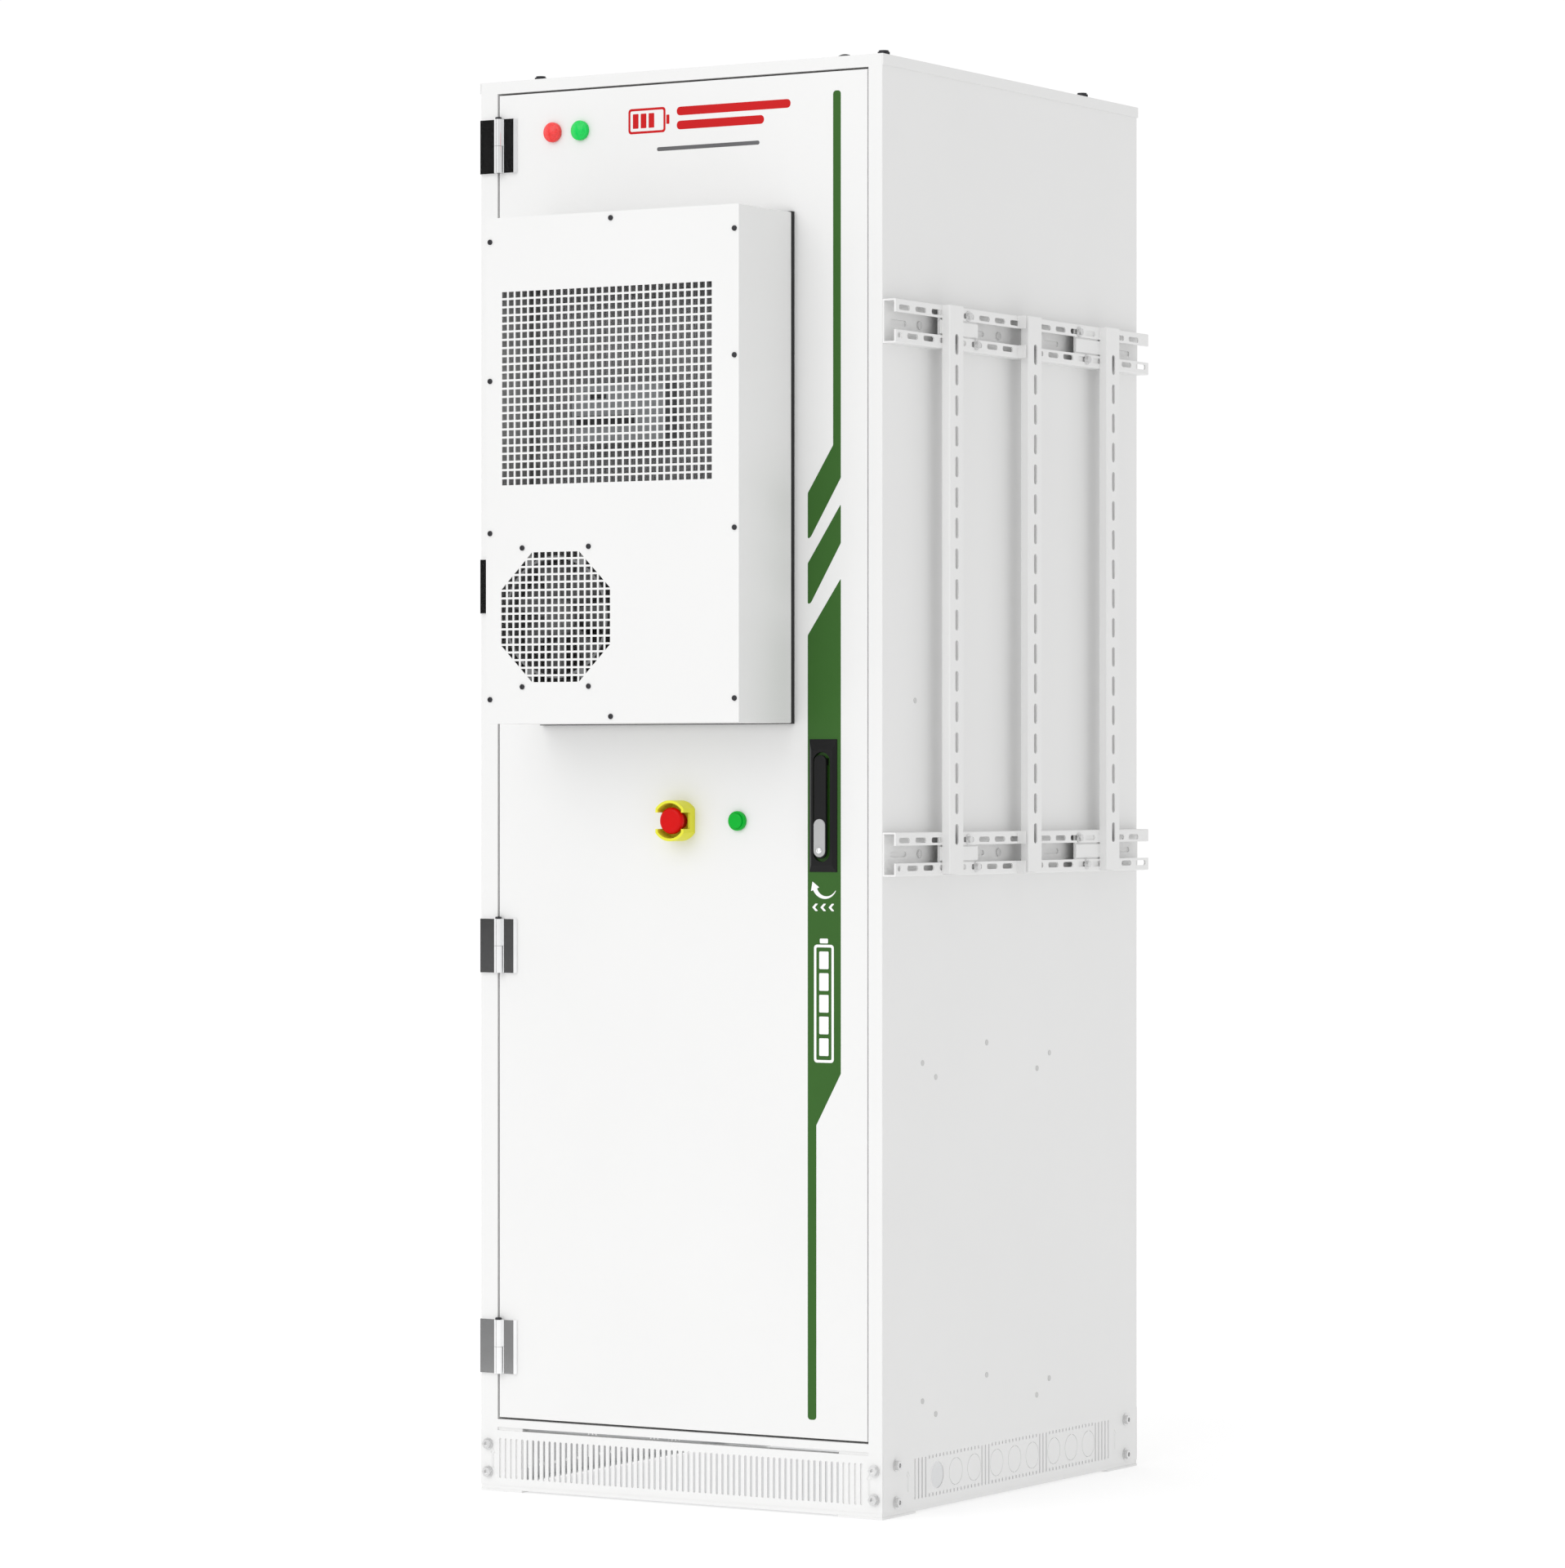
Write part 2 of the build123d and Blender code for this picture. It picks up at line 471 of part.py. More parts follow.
with BuildPart() as mounting_rails:
    for y in RAIL_Y:
        half = RAIL_WIDE / 2
        block((STRUT_FACE, RAIL_FACE), (y - half, y + half), RAIL_Z)
        block((STRUT_FACE, RAIL_FACE - SHEET), (y - half + SHEET, y + half - SHEET), RAIL_Z,
              mode=Mode.SUBTRACT)
    rail_bends = mounting_rails.edges().filter_by(Axis.Z).filter_by(
        lambda e: abs(e.center().X - RAIL_FACE) < 0.1)
    fillet(rail_bends, radius=2.5)
    slots(facing_right(RAIL_FACE), [(y, z) for y in RAIL_Y for z in RAIL_SLOT_Z], 31.0, 10.0, SHEET, turn=90)

BRACKETS = [(-267.0, -153.0), (157.0, 275.0)]
BRACKET_BACK = STRUT_FACE - STRUT_SHEET - 2.4
LIP_BOLTS = [(y, z + side * LIP_SLOT_OFFSET) for z in STRUT_Z
             for y, side in ((-183.0, 1), (-158.5, -1), (165.8, 1), (191.3, -1))]
LIP_BOLT_R = 3.0

with BuildPart() as rail_brackets:
    for z in STRUT_Z:
        for y in BRACKETS:
            block((BRACKET_BACK, STRUT_FACE - STRUT_SHEET), y, (z - 28.0, z + 28.0))
            block((BRACKET_BACK, STRUT_FACE), y, (z - 10.2, z + 10.2))
        for side in (-1, 1):
            ear = span(z + side * STRUT_HALF, z + side * (STRUT_HALF - LIP))
            rail_side = RAIL_Y[1] - RAIL_WIDE / 2
            block((STRUT_FACE, STRUT_FACE + 13.0), (rail_side - 11.5, rail_side - 9.5), ear)
            block((STRUT_FACE, STRUT_FACE + 2.0), (rail_side - 9.5, rail_side), ear)
    discs(facing_right(STRUT_FACE), LIP_BOLTS, LIP_BOLT_R + 0.2, -8, mode=Mode.SUBTRACT)

with BuildPart() as rail_bolts:
    discs(facing_right(STRUT_FACE), LIP_BOLTS, 8.0, 1.4)
    hexagons(facing_right(STRUT_FACE + 1.4), LIP_BOLTS, 10.0, 4.4)
    discs(facing_right(STRUT_FACE), LIP_BOLTS, LIP_BOLT_R, -8)
    discs(facing_right(WEB_FACE), WEB_BOLTS, 6.0, 2.6)
    discs(facing_right(WEB_FACE), WEB_BOLTS, WEB_BOLT_R, -9)

# ---------------------------------------------------------------- battery rack and its contents
MODULE_X = (-MODULE[0] / 2, MODULE[0] / 2)
MODULE_Y = (MODULE_FRONT, MODULE_FRONT + MODULE[1])
MODULE_Z = [MODULE_FIRST + i * MODULE_PITCH for i in range(MODULE_COUNT)]
UPRIGHT_X, UPRIGHT = 292.0, 36.0
SHELF_Z = [z - 3.0 for z in MODULE_Z] + [CONTROL_Z[0] - 3.0]

with BuildPart() as battery_rack:
    for side in (-1, 1):
        for y_outer, inward in ((MODULE_Y[0] - 12.0, 1), (MODULE_Y[1] + 8.0, -1)):
            x = span(side * (UPRIGHT_X - 3), side * UPRIGHT_X)
            flange = span(side * (UPRIGHT_X - UPRIGHT), side * UPRIGHT_X)
            height = (PAN_Z + SHEET, CONTROL_Z[1] + 10.0)
            block(x, span(y_outer, y_outer + inward * UPRIGHT), height)
            block(flange, span(y_outer, y_outer + inward * 3.0), height)
    for z in SHELF_Z:
        shelf_x = (-UPRIGHT_X + 3.3, UPRIGHT_X - 3.3)
        shelf_y = (MODULE_Y[0] - 8.7, MODULE_Y[1] + 4.7)
        block(shelf_x, shelf_y, (z, z + 3.0))
        block(shelf_x, (shelf_y[0], shelf_y[0] + 3.0), (z - 18.0, z))

with BuildPart() as battery_modules:
    for z in MODULE_Z:
        block(MODULE_X, MODULE_Y, (z, z + MODULE[2]))
    fillet(battery_modules.edges().filter_by(Axis.Z), radius=4.0)
    for z in MODULE_Z:
        for x in (-140.0, 140.0):
            block((x - 50, x + 50), (MODULE_Y[0] - 1, MODULE_Y[0] + 2), (z + 90, z + 150), mode=Mode.SUBTRACT)

with BuildPart() as module_handles:
    for z in MODULE_Z:
        for x in (-205.0, 205.0):
            block((x - 7, x + 7), (MODULE_Y[0] - 26, MODULE_Y[0] - 18), (z + 60, z + 180))
            for end in (60.0, 168.0):
                block((x - 7, x + 7), (MODULE_Y[0] - 26, MODULE_Y[0]), (z + end, z + end + 12))
    fillet(module_handles.edges().filter_by(Axis.Y), radius=2.5)

with BuildPart() as link_bars:
    for i, z in enumerate(MODULE_Z):
        x = 120.0 if i % 2 else -120.0
        low = z + MODULE[2] - 50.0
        high = (MODULE_Z + [CONTROL_Z[0]])[i + 1] + 40.0
        block((x - 10, x + 10), (MODULE_Y[0] - 16, MODULE_Y[0] - 12), (low, high))
        for end in (low, high - 22):
            discs(facing_front(MODULE_Y[0]), [(x, end + 11)], 11.0, 18)
    discs(facing_front(MODULE_Y[0]), [(120.0, MODULE_Z[0] + 51)], 11.0, 18)

BREAKER_X, BREAKER_Z = (-90.0, 10.0), (CONTROL_Z[0] + 35.0, CONTROL_Z[0] + 139.0)
BREAKER_FACE = MODULE_FRONT - 36.0
TOGGLE_PIVOT = (sum(BREAKER_X) / 2, BREAKER_FACE + 6.0, sum(BREAKER_Z) / 2)
TOGGLE_R = 9.0

with BuildPart() as control_box:
    block((-240, 240), (MODULE_Y[0], 100), CONTROL_Z)
    block((-238, 238), (MODULE_Y[0] + 2, 100), (CONTROL_Z[0] + 2, CONTROL_Z[1] - 2), mode=Mode.SUBTRACT)

with BuildPart() as main_breaker:
    block(BREAKER_X, (BREAKER_FACE, MODULE_Y[0]), BREAKER_Z)
    block((TOGGLE_PIVOT[0] - 14.0, TOGGLE_PIVOT[0] + 14.0), (BREAKER_FACE - 1.0, BREAKER_FACE + 20.0),
          (TOGGLE_PIVOT[2] - 30.0, TOGGLE_PIVOT[2] + 30.0), mode=Mode.SUBTRACT)
    fillet(main_breaker.edges().filter_by(Axis.X).filter_by(
        lambda e: abs(e.center().Y - BREAKER_FACE) < 0.1 and e.length > 90), radius=2.0)

with BuildPart() as breaker_toggle:
    plane = facing_right(TOGGLE_PIVOT[0] - 13.5)
    discs(plane, [TOGGLE_PIVOT[1:]], TOGGLE_R, 27.0)
    block((TOGGLE_PIVOT[0] - 7.0, TOGGLE_PIVOT[0] + 7.0), (BREAKER_FACE - 22.0, TOGGLE_PIVOT[1]),
          (TOGGLE_PIVOT[2] - 2.0, TOGGLE_PIVOT[2] + 6.0))

with BuildPart() as rod_keepers:
    for edge, up in ((TOP_RAIL_Z, -1), (BOTTOM_RAIL_TOP, 1)):
        block((225, 290), (-359.5, -357.5), span(edge, edge + up * 17.2))
        block((225, 290), (-367.5, -357.5), span(edge, edge + up * 2.0))

# ---------------------------------------------------------------- door
with BuildPart() as door_panel:
    block(DOOR_X, (FRONT, DOOR_BACK), DOOR_Z)
    inner_x = (DOOR_X[0] + SHEET, DOOR_X[1] - SHEET)
    inner_z = (DOOR_Z[0] + SHEET, DOOR_Z[1] - SHEET)
    block(inner_x, (FRONT + SHEET, DOOR_BACK - SHEET), inner_z, mode=Mode.SUBTRACT)
    block((DOOR_X[0] + DOOR_RETURN, DOOR_X[1] - DOOR_RETURN), (DOOR_BACK - SHEET, DOOR_BACK),
          (DOOR_Z[0] + DOOR_RETURN, DOOR_Z[1] - DOOR_RETURN), mode=Mode.SUBTRACT)
    rim = door_panel.faces().sort_by(Axis.Y)[0].edges()
    fillet(rim, radius=1.2)
    block(AC_HOLE_X, (FRONT, FRONT + SHEET), AC_HOLE_Z, mode=Mode.SUBTRACT)
    discs(facing_front(FRONT), [LAMP_RED, LAMP_GREEN, START, ESTOP], PANEL_HOLE_R, -SHEET, mode=Mode.SUBTRACT)
    block((HANDLE_X - 18.3, HANDLE_X + 18.3), (FRONT, FRONT + SHEET), (961.7, 1134.3), mode=Mode.SUBTRACT)

with BuildPart() as door_stiffeners:
    for z, right in ((330.0, 300.0), (700.0, 300.0), (1155.0, 205.0), (1940.0, 300.0)):
        tube((-296.0, right), (FRONT + SHEET, DOOR_BACK - 4.0), (z - 14.0, z + 14.0), along=0, wall=1.5)

with BuildPart() as door_gasket:
    outer_x = (DOOR_X[0] + 4.0, DOOR_X[1] - 4.0)
    outer_z = (DOOR_Z[0] + 4.0, DOOR_Z[1] - 4.0)
    block(outer_x, (DOOR_BACK, REBATE_Y - 0.3), outer_z)
    block((outer_x[0] + 12, outer_x[1] - 12), (DOOR_BACK, REBATE_Y - 0.3),
          (outer_z[0] + 12, outer_z[1] - 12), mode=Mode.SUBTRACT)


def pilot_lamp(centre):
    """Lens, bezel and threaded barrel of a 22 mm panel lamp."""
    x, z = centre
    with BuildPart() as lamp:
        with BuildSketch(Plane(origin=(x, FRONT, z), x_dir=(1, 0, 0), z_dir=(0, 0, 1))) as half:
            with BuildLine():
                Polyline((0, 40), (11, 40), (11, 0), (15, 0), (15, -5))
                ThreePointArc((15, -5), (13.8, -6.6), (12.6, -7))
                TangentArc((0, -11), (12.6, -7), tangent=(1, 0))
                Line((0, -11), (0, 40))
            make_face()
        revolve(half.sketch, axis=Axis((x, 0, z), (0, 1, 0)))
    return lamp.part


with BuildPart() as pilot_lamp_red:
    add(pilot_lamp(LAMP_RED))
with BuildPart() as pilot_lamp_green:
    add(pilot_lamp(LAMP_GREEN))

BARREL_BACK = FRONT + 40.0
CAP_R = 11.2
with BuildPart() as start_button_collar:
    discs(facing_front(FRONT), [START], 14.5, 6.5)
    fillet(start_button_collar.edges().sort_by(Axis.Y)[0], radius=1.4)
    discs(facing_rear(FRONT), [(-START[0], START[1])], 11.0, 40)
    discs(facing_front(FRONT - 1.5), [START], CAP_R + 0.1, 11, mode=Mode.SUBTRACT)
    discs(facing_front(BARREL_BACK), [START], 5.0 + FIT, 50, mode=Mode.SUBTRACT)

with BuildPart() as start_button_cap:
    discs(facing_front(FRONT - 4.8), [START], CAP_R, 5.2)
    fillet(start_button_cap.edges().sort_by(Axis.Y)[0], radius=1.6)
    discs(facing_rear(FRONT - 4.8), [(-START[0], START[1])], 5.0, 34)

SHROUD_R, SHROUD_FLAT, SHROUD_TALL, SHROUD_WALL = 30.5, 24.6, 33.0, 4.0
HEAD_R, HEAD_FACE, HEAD_BACK = 20.0, FRONT - 31.0, FRONT - 19.5
PRESS = 5.0


def clipped_disc(plane, radius, half_width, length, mode=Mode.ADD):
    """Disc with its left and right sides cut flat."""
    with BuildSketch(plane) as outline:
        with Locations(ESTOP):
            Circle(radius)
            Rectangle(2 * half_width, 2 * radius, mode=Mode.INTERSECT)
    extrude(outline.sketch, amount=length, mode=mode)


with BuildPart() as estop_shroud:
    clipped_disc(facing_front(FRONT), SHROUD_R, SHROUD_FLAT, SHROUD_TALL)
    clipped_disc(facing_front(FRONT - 3.0), SHROUD_R - SHROUD_WALL, SHROUD_FLAT - SHROUD_WALL,
                 SHROUD_TALL, mode=Mode.SUBTRACT)
    block((ESTOP[0] - 40, ESTOP[0] + 40), (FRONT - 40, FRONT - 14), (ESTOP[1] - 12.25, ESTOP[1] + 12.25),
          mode=Mode.SUBTRACT)
    discs(facing_front(FRONT), [ESTOP], PANEL_HOLE_R, 3.0, mode=Mode.SUBTRACT)

with BuildPart() as estop_base:
    discs(facing_front(FRONT - 3.0), [ESTOP], 13.0, 10.5)
    discs(facing_rear(FRONT - 3.0), [(-ESTOP[0], ESTOP[1])], 11.0, 43.0)
    discs(facing_front(BARREL_BACK), [ESTOP], 8.0 + FIT, 60, mode=Mode.SUBTRACT)

PLUNGER_FRONT = FRONT - 28.0
with BuildPart() as estop_plunger:
    discs(facing_front(FRONT + 30.0), [ESTOP], 8.0, 49.5)
    discs(facing_front(HEAD_BACK), [ESTOP], 5.0, HEAD_BACK - PLUNGER_FRONT)

with BuildPart() as estop_head:
    with BuildSketch(Plane(origin=(ESTOP[0], 0, ESTOP[1]), x_dir=(1, 0, 0), z_dir=(0, 0, 1))) as half:
        with BuildLine():
            Polyline((5.0 + FIT, HEAD_BACK - 0.3), (14.0, HEAD_BACK - 0.3), (HEAD_R, HEAD_BACK - 4.0),
                     (HEAD_R, HEAD_BACK - 7.0))
            ThreePointArc((HEAD_R, HEAD_BACK - 7.0), (18.2, HEAD_BACK - 10.2), (14.5, HEAD_FACE))
            Polyline((14.5, HEAD_FACE), (0, HEAD_FACE), (0, PLUNGER_FRONT - 0.3),
                     (5.0 + FIT, PLUNGER_FRONT - 0.3), (5.0 + FIT, HEAD_BACK - 0.3))
        make_face()
    revolve(half.sketch, axis=Axis((ESTOP[0], 0, ESTOP[1]), (0, 1, 0)))

with BuildPart() as contact_blocks:
    for x, z in (LAMP_RED, LAMP_GREEN, START, ESTOP):
        block((x - 15, x + 15), (BARREL_BACK, BARREL_BACK + 26), (z - 20, z + 20))
    fillet(contact_blocks.edges().filter_by(Axis.Y), radius=2.0)

# ---------------------------------------------------------------- air conditioner
COVER_BACK = AC_FACE + AC_SHEET
AC_SCREWS = ([(AC_MID - 214.6, z) for z in (1204.9, 1453.2, 1680.6, 1888.6)]
             + [(AC_MID + 214.6, z) for z in (1204.1, 1452.9, 1704.1, 1888.6)]
             + [(AC_MID, 1178.6), (AC_MID, 1914.5)])
FAN_SCREWS = [(FAN_CENTRE[0] + i * 58.9, FAN_CENTRE[1] + j * 103.4) for i in (-1, 1) for j in (-1, 1)]
SCREW_R = 2.0

with BuildPart() as ac_casing:
    block(AC_X, (COVER_BACK, AC_BACK), AC_Z)
    fillet(ac_casing.edges().filter_by(Axis.Y), radius=1.5)
    inside_x = (AC_X[0] + AC_SHEET, AC_X[1] - AC_SHEET)
    inside_z = (AC_Z[0] + AC_SHEET, AC_Z[1] - AC_SHEET)
    block(inside_x, (COVER_BACK + AC_SHEET, AC_BACK - AC_SHEET), inside_z, mode=Mode.SUBTRACT)
    block((inside_x[0] + 12, inside_x[1] - 12), (COVER_BACK, COVER_BACK + AC_SHEET),
          (inside_z[0] + 12, inside_z[1] - 12), mode=Mode.SUBTRACT)
    discs(facing_front(COVER_BACK), AC_SCREWS, SCREW_R + 0.2, -AC_SHEET, mode=Mode.SUBTRACT)

with BuildSketch(facing_front(AC_FACE)) as cover_outline:
    with Locations((AC_MID, sum(AC_Z) / 2)):
        RectangleRounded(AC_X[1] - AC_X[0], AC_Z[1] - AC_Z[0], 1.5)
with BuildSketch(facing_front(AC_FACE)) as cover_holes:
    with Locations(*AC_SCREWS, *FAN_SCREWS):
        Circle(SCREW_R + 0.2)
    with Locations(MESH_CENTRE):
        with GridLocations(MESH_PITCH_X, MESH_PITCH_Z, MESH_COLS, MESH_ROWS):
            Rectangle(MESH_PITCH_X - MESH_WIRE, MESH_PITCH_Z - MESH_WIRE)
with BuildSketch(facing_front(AC_FACE)) as fan_mesh:
    with Locations(FAN_CENTRE):
        with GridLocations(FAN_CELL_PITCH, FAN_CELL_PITCH, FAN_CELLS, FAN_CELLS):
            Rectangle(FAN_CELL_PITCH - MESH_WIRE, FAN_CELL_PITCH - MESH_WIRE)
        RegularPolygon(FAN_FLATS / 2, 8, major_radius=False, rotation=22.5, mode=Mode.INTERSECT)

with BuildPart() as ac_cover:
    cells = cover_holes.sketch.faces() + fan_mesh.sketch.faces()
    perforated = Face(cover_outline.sketch.face().outer_wire(), [cell.outer_wire() for cell in cells])
    extrude(perforated, amount=-AC_SHEET, clean=False)

with BuildPart() as ac_screws:
    discs(facing_front(AC_FACE), AC_SCREWS + FAN_SCREWS, 4.0, 2.2)
    fillet(ac_screws.edges().filter_by(lambda e: abs(e.center().Y - AC_FACE + 2.2) < 0.1), radius=1.2)
    discs(facing_front(AC_FACE), AC_SCREWS + FAN_SCREWS, SCREW_R, -5)

with BuildPart() as ac_gasket:
    rim = 1.2
    block((AC_X[0] - rim, AC_X[1] + rim), (AC_BACK, FRONT), (AC_Z[0] - rim, AC_Z[1] + rim))
    block((AC_X[0] + 16, AC_X[1] - 16), (AC_BACK, FRONT), (AC_Z[0] + 16, AC_Z[1] - 16), mode=Mode.SUBTRACT)

COIL_X, COIL_Y, COIL_Z = (-205.0, 165.0), (-462.0, -432.0), (1500.0, 1835.0)
with BuildPart() as ac_condenser:
    block(COIL_X, COIL_Y, COIL_Z)
    for x, out in ((COIL_X[0], -1), (COIL_X[1], 1)):
        for i in range(8):
            z = COIL_Z[0] + 28 + i * 40
            with BuildSketch(facing_front(COIL_Y[0] + 10)) as bend:
                with Locations((x, z)):
                    Circle(14)
                    Circle(8, mode=Mode.SUBTRACT)
                    with Locations((-out * 20, 0)):
                        Rectangle(40, 40, mode=Mode.SUBTRACT)
            extrude(bend.sketch, amount=-6)

with BuildPart() as ac_control_box:
    block((-120.0, 44.0), (-505.0, COIL_Y[0]), (1587.0, 1675.0))
    fillet(ac_control_box.edges().filter_by(Axis.Y), radius=3.0)
    block((-112.0, -9.0), (-506.0, -497.0), (1610.0, 1627.0), mode=Mode.SUBTRACT)
    block((-88.0, -59.0), (-506.0, -497.0), (1652.0, 1663.0), mode=Mode.SUBTRACT)

with BuildPart() as ac_compressor:
    discs(Plane.XY.offset(AC_Z[0] + AC_SHEET), [(110.0, -480.0)], 60.0, 6)
    discs(Plane.XY.offset(AC_Z[0] + 7), [(110.0, -480.0)], 52.0, 200)
    fillet(ac_compressor.edges().sort_by(Axis.Z)[-1], radius=25.0)
    discs(Plane.XY.offset(AC_Z[0] + 200), [(90.0, -480.0)], 5.0, 60)

HUB_R = 28.0
FAN_Y = (-545.0, -513.0)
FAN_ARM_Y = -509.0               # front face of the arms behind the rotor
RING_IN, RING_OUT = 87.0, 91.0
SHAFT_R = 4.0
FAN_BLADES = 7


def on_axis(y, centre, turned=0.0):
    """Plane at y that looks out of the door, with its origin on a fan's axis."""
    turn = math.radians(turned)
    return Plane(origin=(centre[0], y, centre[1]), x_dir=(math.cos(turn), 0, math.sin(turn)),
                 z_dir=(0, -1, 0))


with BuildPart() as ac_fan_frame:
    discs(on_axis(FAN_ARM_Y, FAN_CENTRE), [(0, 0)], RING_OUT, FAN_ARM_Y - COVER_BACK)
    discs(on_axis(FAN_ARM_Y, FAN_CENTRE), [(0, 0)], RING_IN, FAN_ARM_Y - COVER_BACK, mode=Mode.SUBTRACT)
    for turn in (0, 60, 120):
        with BuildSketch(on_axis(FAN_ARM_Y, FAN_CENTRE, turn)) as arm:
            Rectangle(2 * RING_OUT - 2, 8)
        extrude(arm.sketch, amount=-5)
    discs(on_axis(FAN_ARM_Y, FAN_CENTRE), [(0, 0)], 30.0, -40)
    discs(on_axis(FAN_ARM_Y, FAN_CENTRE), [(0, 0)], SHAFT_R, 31.5)
    for i, j in ((-1, -1), (1, -1), (-1, 1), (1, 1)):
        reach = math.hypot(58.9, 103.4)
        turn = math.degrees(math.atan2(j * 103.4, i * 58.9))
        with BuildSketch(on_axis(COVER_BACK, FAN_CENTRE, turn)) as ear:
            with Locations(((reach + RING_IN) / 2 + 4, 0)):
                Rectangle(reach - RING_IN + 8, 14)
        extrude(ear.sketch, amount=-3)
    discs(facing_front(COVER_BACK), FAN_SCREWS, SCREW_R + 0.2, -3, mode=Mode.SUBTRACT)

with BuildPart() as ac_fan_rotor:
    discs(on_axis(FAN_Y[1], FAN_CENTRE), [(0, 0)], HUB_R, FAN_Y[1] - FAN_Y[0])
    fillet(ac_fan_rotor.edges().sort_by(Axis.Y)[0], radius=5.0)
    for i in range(FAN_BLADES):
        angle = i * 2 * math.pi / FAN_BLADES
        out = Vector(math.cos(angle), 0, math.sin(angle))
        centre = Vector(FAN_CENTRE[0], (FAN_Y[0] + FAN_Y[1]) / 2, FAN_CENTRE[1])
        with BuildSketch(Plane(origin=centre + out * (HUB_R - 3), x_dir=(0, 1, 0), z_dir=out)) as root:
            Rectangle(30, 2.5, rotation=-50)
        with BuildSketch(Plane(origin=centre + out * 80.0, x_dir=(0, 1, 0), z_dir=out)) as tip:
            Rectangle(52, 1.8, rotation=-64)
        loft(sections=[root.sketch, tip.sketch])
    discs(on_axis(FAN_Y[1], FAN_CENTRE), [(0, 0)], SHAFT_R + FIT, 28, mode=Mode.SUBTRACT)

INNER_X, INNER_Z = (-222.0, 185.0), (1187.0, 1906.0)
INNER_Y = (AC_BACK, -325.0)
BLOWER_Y = (-392.0, -351.0)
BLOWER_R = 80.0

with BuildPart() as ac_inner_casing:
    block(INNER_X, INNER_Y, INNER_Z)
    fillet(ac_inner_casing.edges().filter_by(Axis.Z), radius=2.0)
    block((INNER_X[0] + AC_SHEET, INNER_X[1] - AC_SHEET), (INNER_Y[0], INNER_Y[1] - AC_SHEET),
          (INNER_Z[0] + AC_SHEET, INNER_Z[1] - AC_SHEET), mode=Mode.SUBTRACT)
    block(INNER_X, (AC_BACK, AC_BACK + 3), (BLOWER_CENTRE[1] - 15, BLOWER_CENTRE[1] + 15))
    discs(on_axis(AC_BACK, BLOWER_CENTRE), [(0, 0)], 30.0, -12)
    discs(on_axis(AC_BACK, BLOWER_CENTRE), [(0, 0)], SHAFT_R, -52)
    grille = [(INNER_X[0] / 2 + INNER_X[1] / 2, z) for z in range(1700, 1830, 14)]
    outlet = [(INNER_X[0] / 2 + INNER_X[1] / 2, z) for z in range(1215, 1330, 14)]
    slots(facing_rear(INNER_Y[1]), [(-x, z) for x, z in grille], 170.0, 7.0, 2.0)
    slots(facing_rear(INNER_Y[1]), [(-x, z) for x, z in outlet], 300.0, 7.0, 2.0)

with BuildPart() as ac_blower_rotor:
    discs(on_axis(BLOWER_Y[0], BLOWER_CENTRE), [(0, 0)], BLOWER_R, -3)
    discs(on_axis(BLOWER_Y[0], BLOWER_CENTRE), [(0, 0)], 20.0, -36)
    for i in range(11):
        with BuildSketch(on_axis(BLOWER_Y[0], BLOWER_CENTRE, i * 360 / 11)) as blade:
            with Locations((54, 0)):
                Rectangle(48, 2, rotation=32)
        extrude(blade.sketch, amount=-38)
    with BuildSketch(on_axis(BLOWER_Y[1], BLOWER_CENTRE)) as ring:
        Circle(BLOWER_R)
        Circle(60, mode=Mode.SUBTRACT)
    extrude(ring.sketch, amount=4)
    discs(on_axis(BLOWER_Y[0], BLOWER_CENTRE), [(0, 0)], SHAFT_R + FIT, -40, mode=Mode.SUBTRACT)

# ---------------------------------------------------------------- swing handle and rod lock
HOUSING_FACE = FRONT - HOUSING_PROUD
RECESS_FLOOR = FRONT + 6.0
HOUSING_BACK = FRONT + 12.0

with BuildPart() as handle_housing:
    middle = (HANDLE_X, sum(HOUSING_Z) / 2)
    tall = HOUSING_Z[1] - HOUSING_Z[0]
    block((HANDLE_X - HOUSING_WIDE / 2, HANDLE_X + HOUSING_WIDE / 2), (FRONT - 1.2, FRONT), HOUSING_Z)
    with BuildSketch(facing_front(FRONT - 1.2)) as base:
        with Locations(middle):
            Rectangle(HOUSING_WIDE, tall)
    with BuildSketch(facing_front(HOUSING_FACE)) as face:
        with Locations((HANDLE_X, middle[1] - 3.0)):
            Rectangle(HOUSING_WIDE - 11.4, tall - 26.0)
    loft(sections=[base.sketch, face.sketch])
    block((HANDLE_X - 18.0, HANDLE_X + 18.0), (FRONT, HOUSING_BACK), (962.0, 1134.0))
    slots(facing_front(HOUSING_FACE), [(HANDLE_X, RECESS_Z)], RECESS_LONG, RECESS_WIDE,
          RECESS_FLOOR - HOUSING_FACE, turn=90)
    discs(facing_front(RECESS_FLOOR), [(HANDLE_X, PIVOT_Z)], SPINDLE_R + FIT, -8, mode=Mode.SUBTRACT)

PITCH_R = TOOTH_MODULE * TEETH / 2
BASE_R = PITCH_R * math.cos(PRESSURE)
TIP_R = PITCH_R + ADDENDUM
ROOT_R = PITCH_R - DEDENDUM
RACK_PITCH = math.pi * TOOTH_MODULE
HALF_TOOTH = (RACK_PITCH / 2 - BACKLASH) / 2


def involute(radius):
    """Angle that an involute from the base circle has turned by when it reaches a radius."""
    pressure = math.acos(min(1.0, BASE_R / radius))
    return math.tan(pressure) - pressure


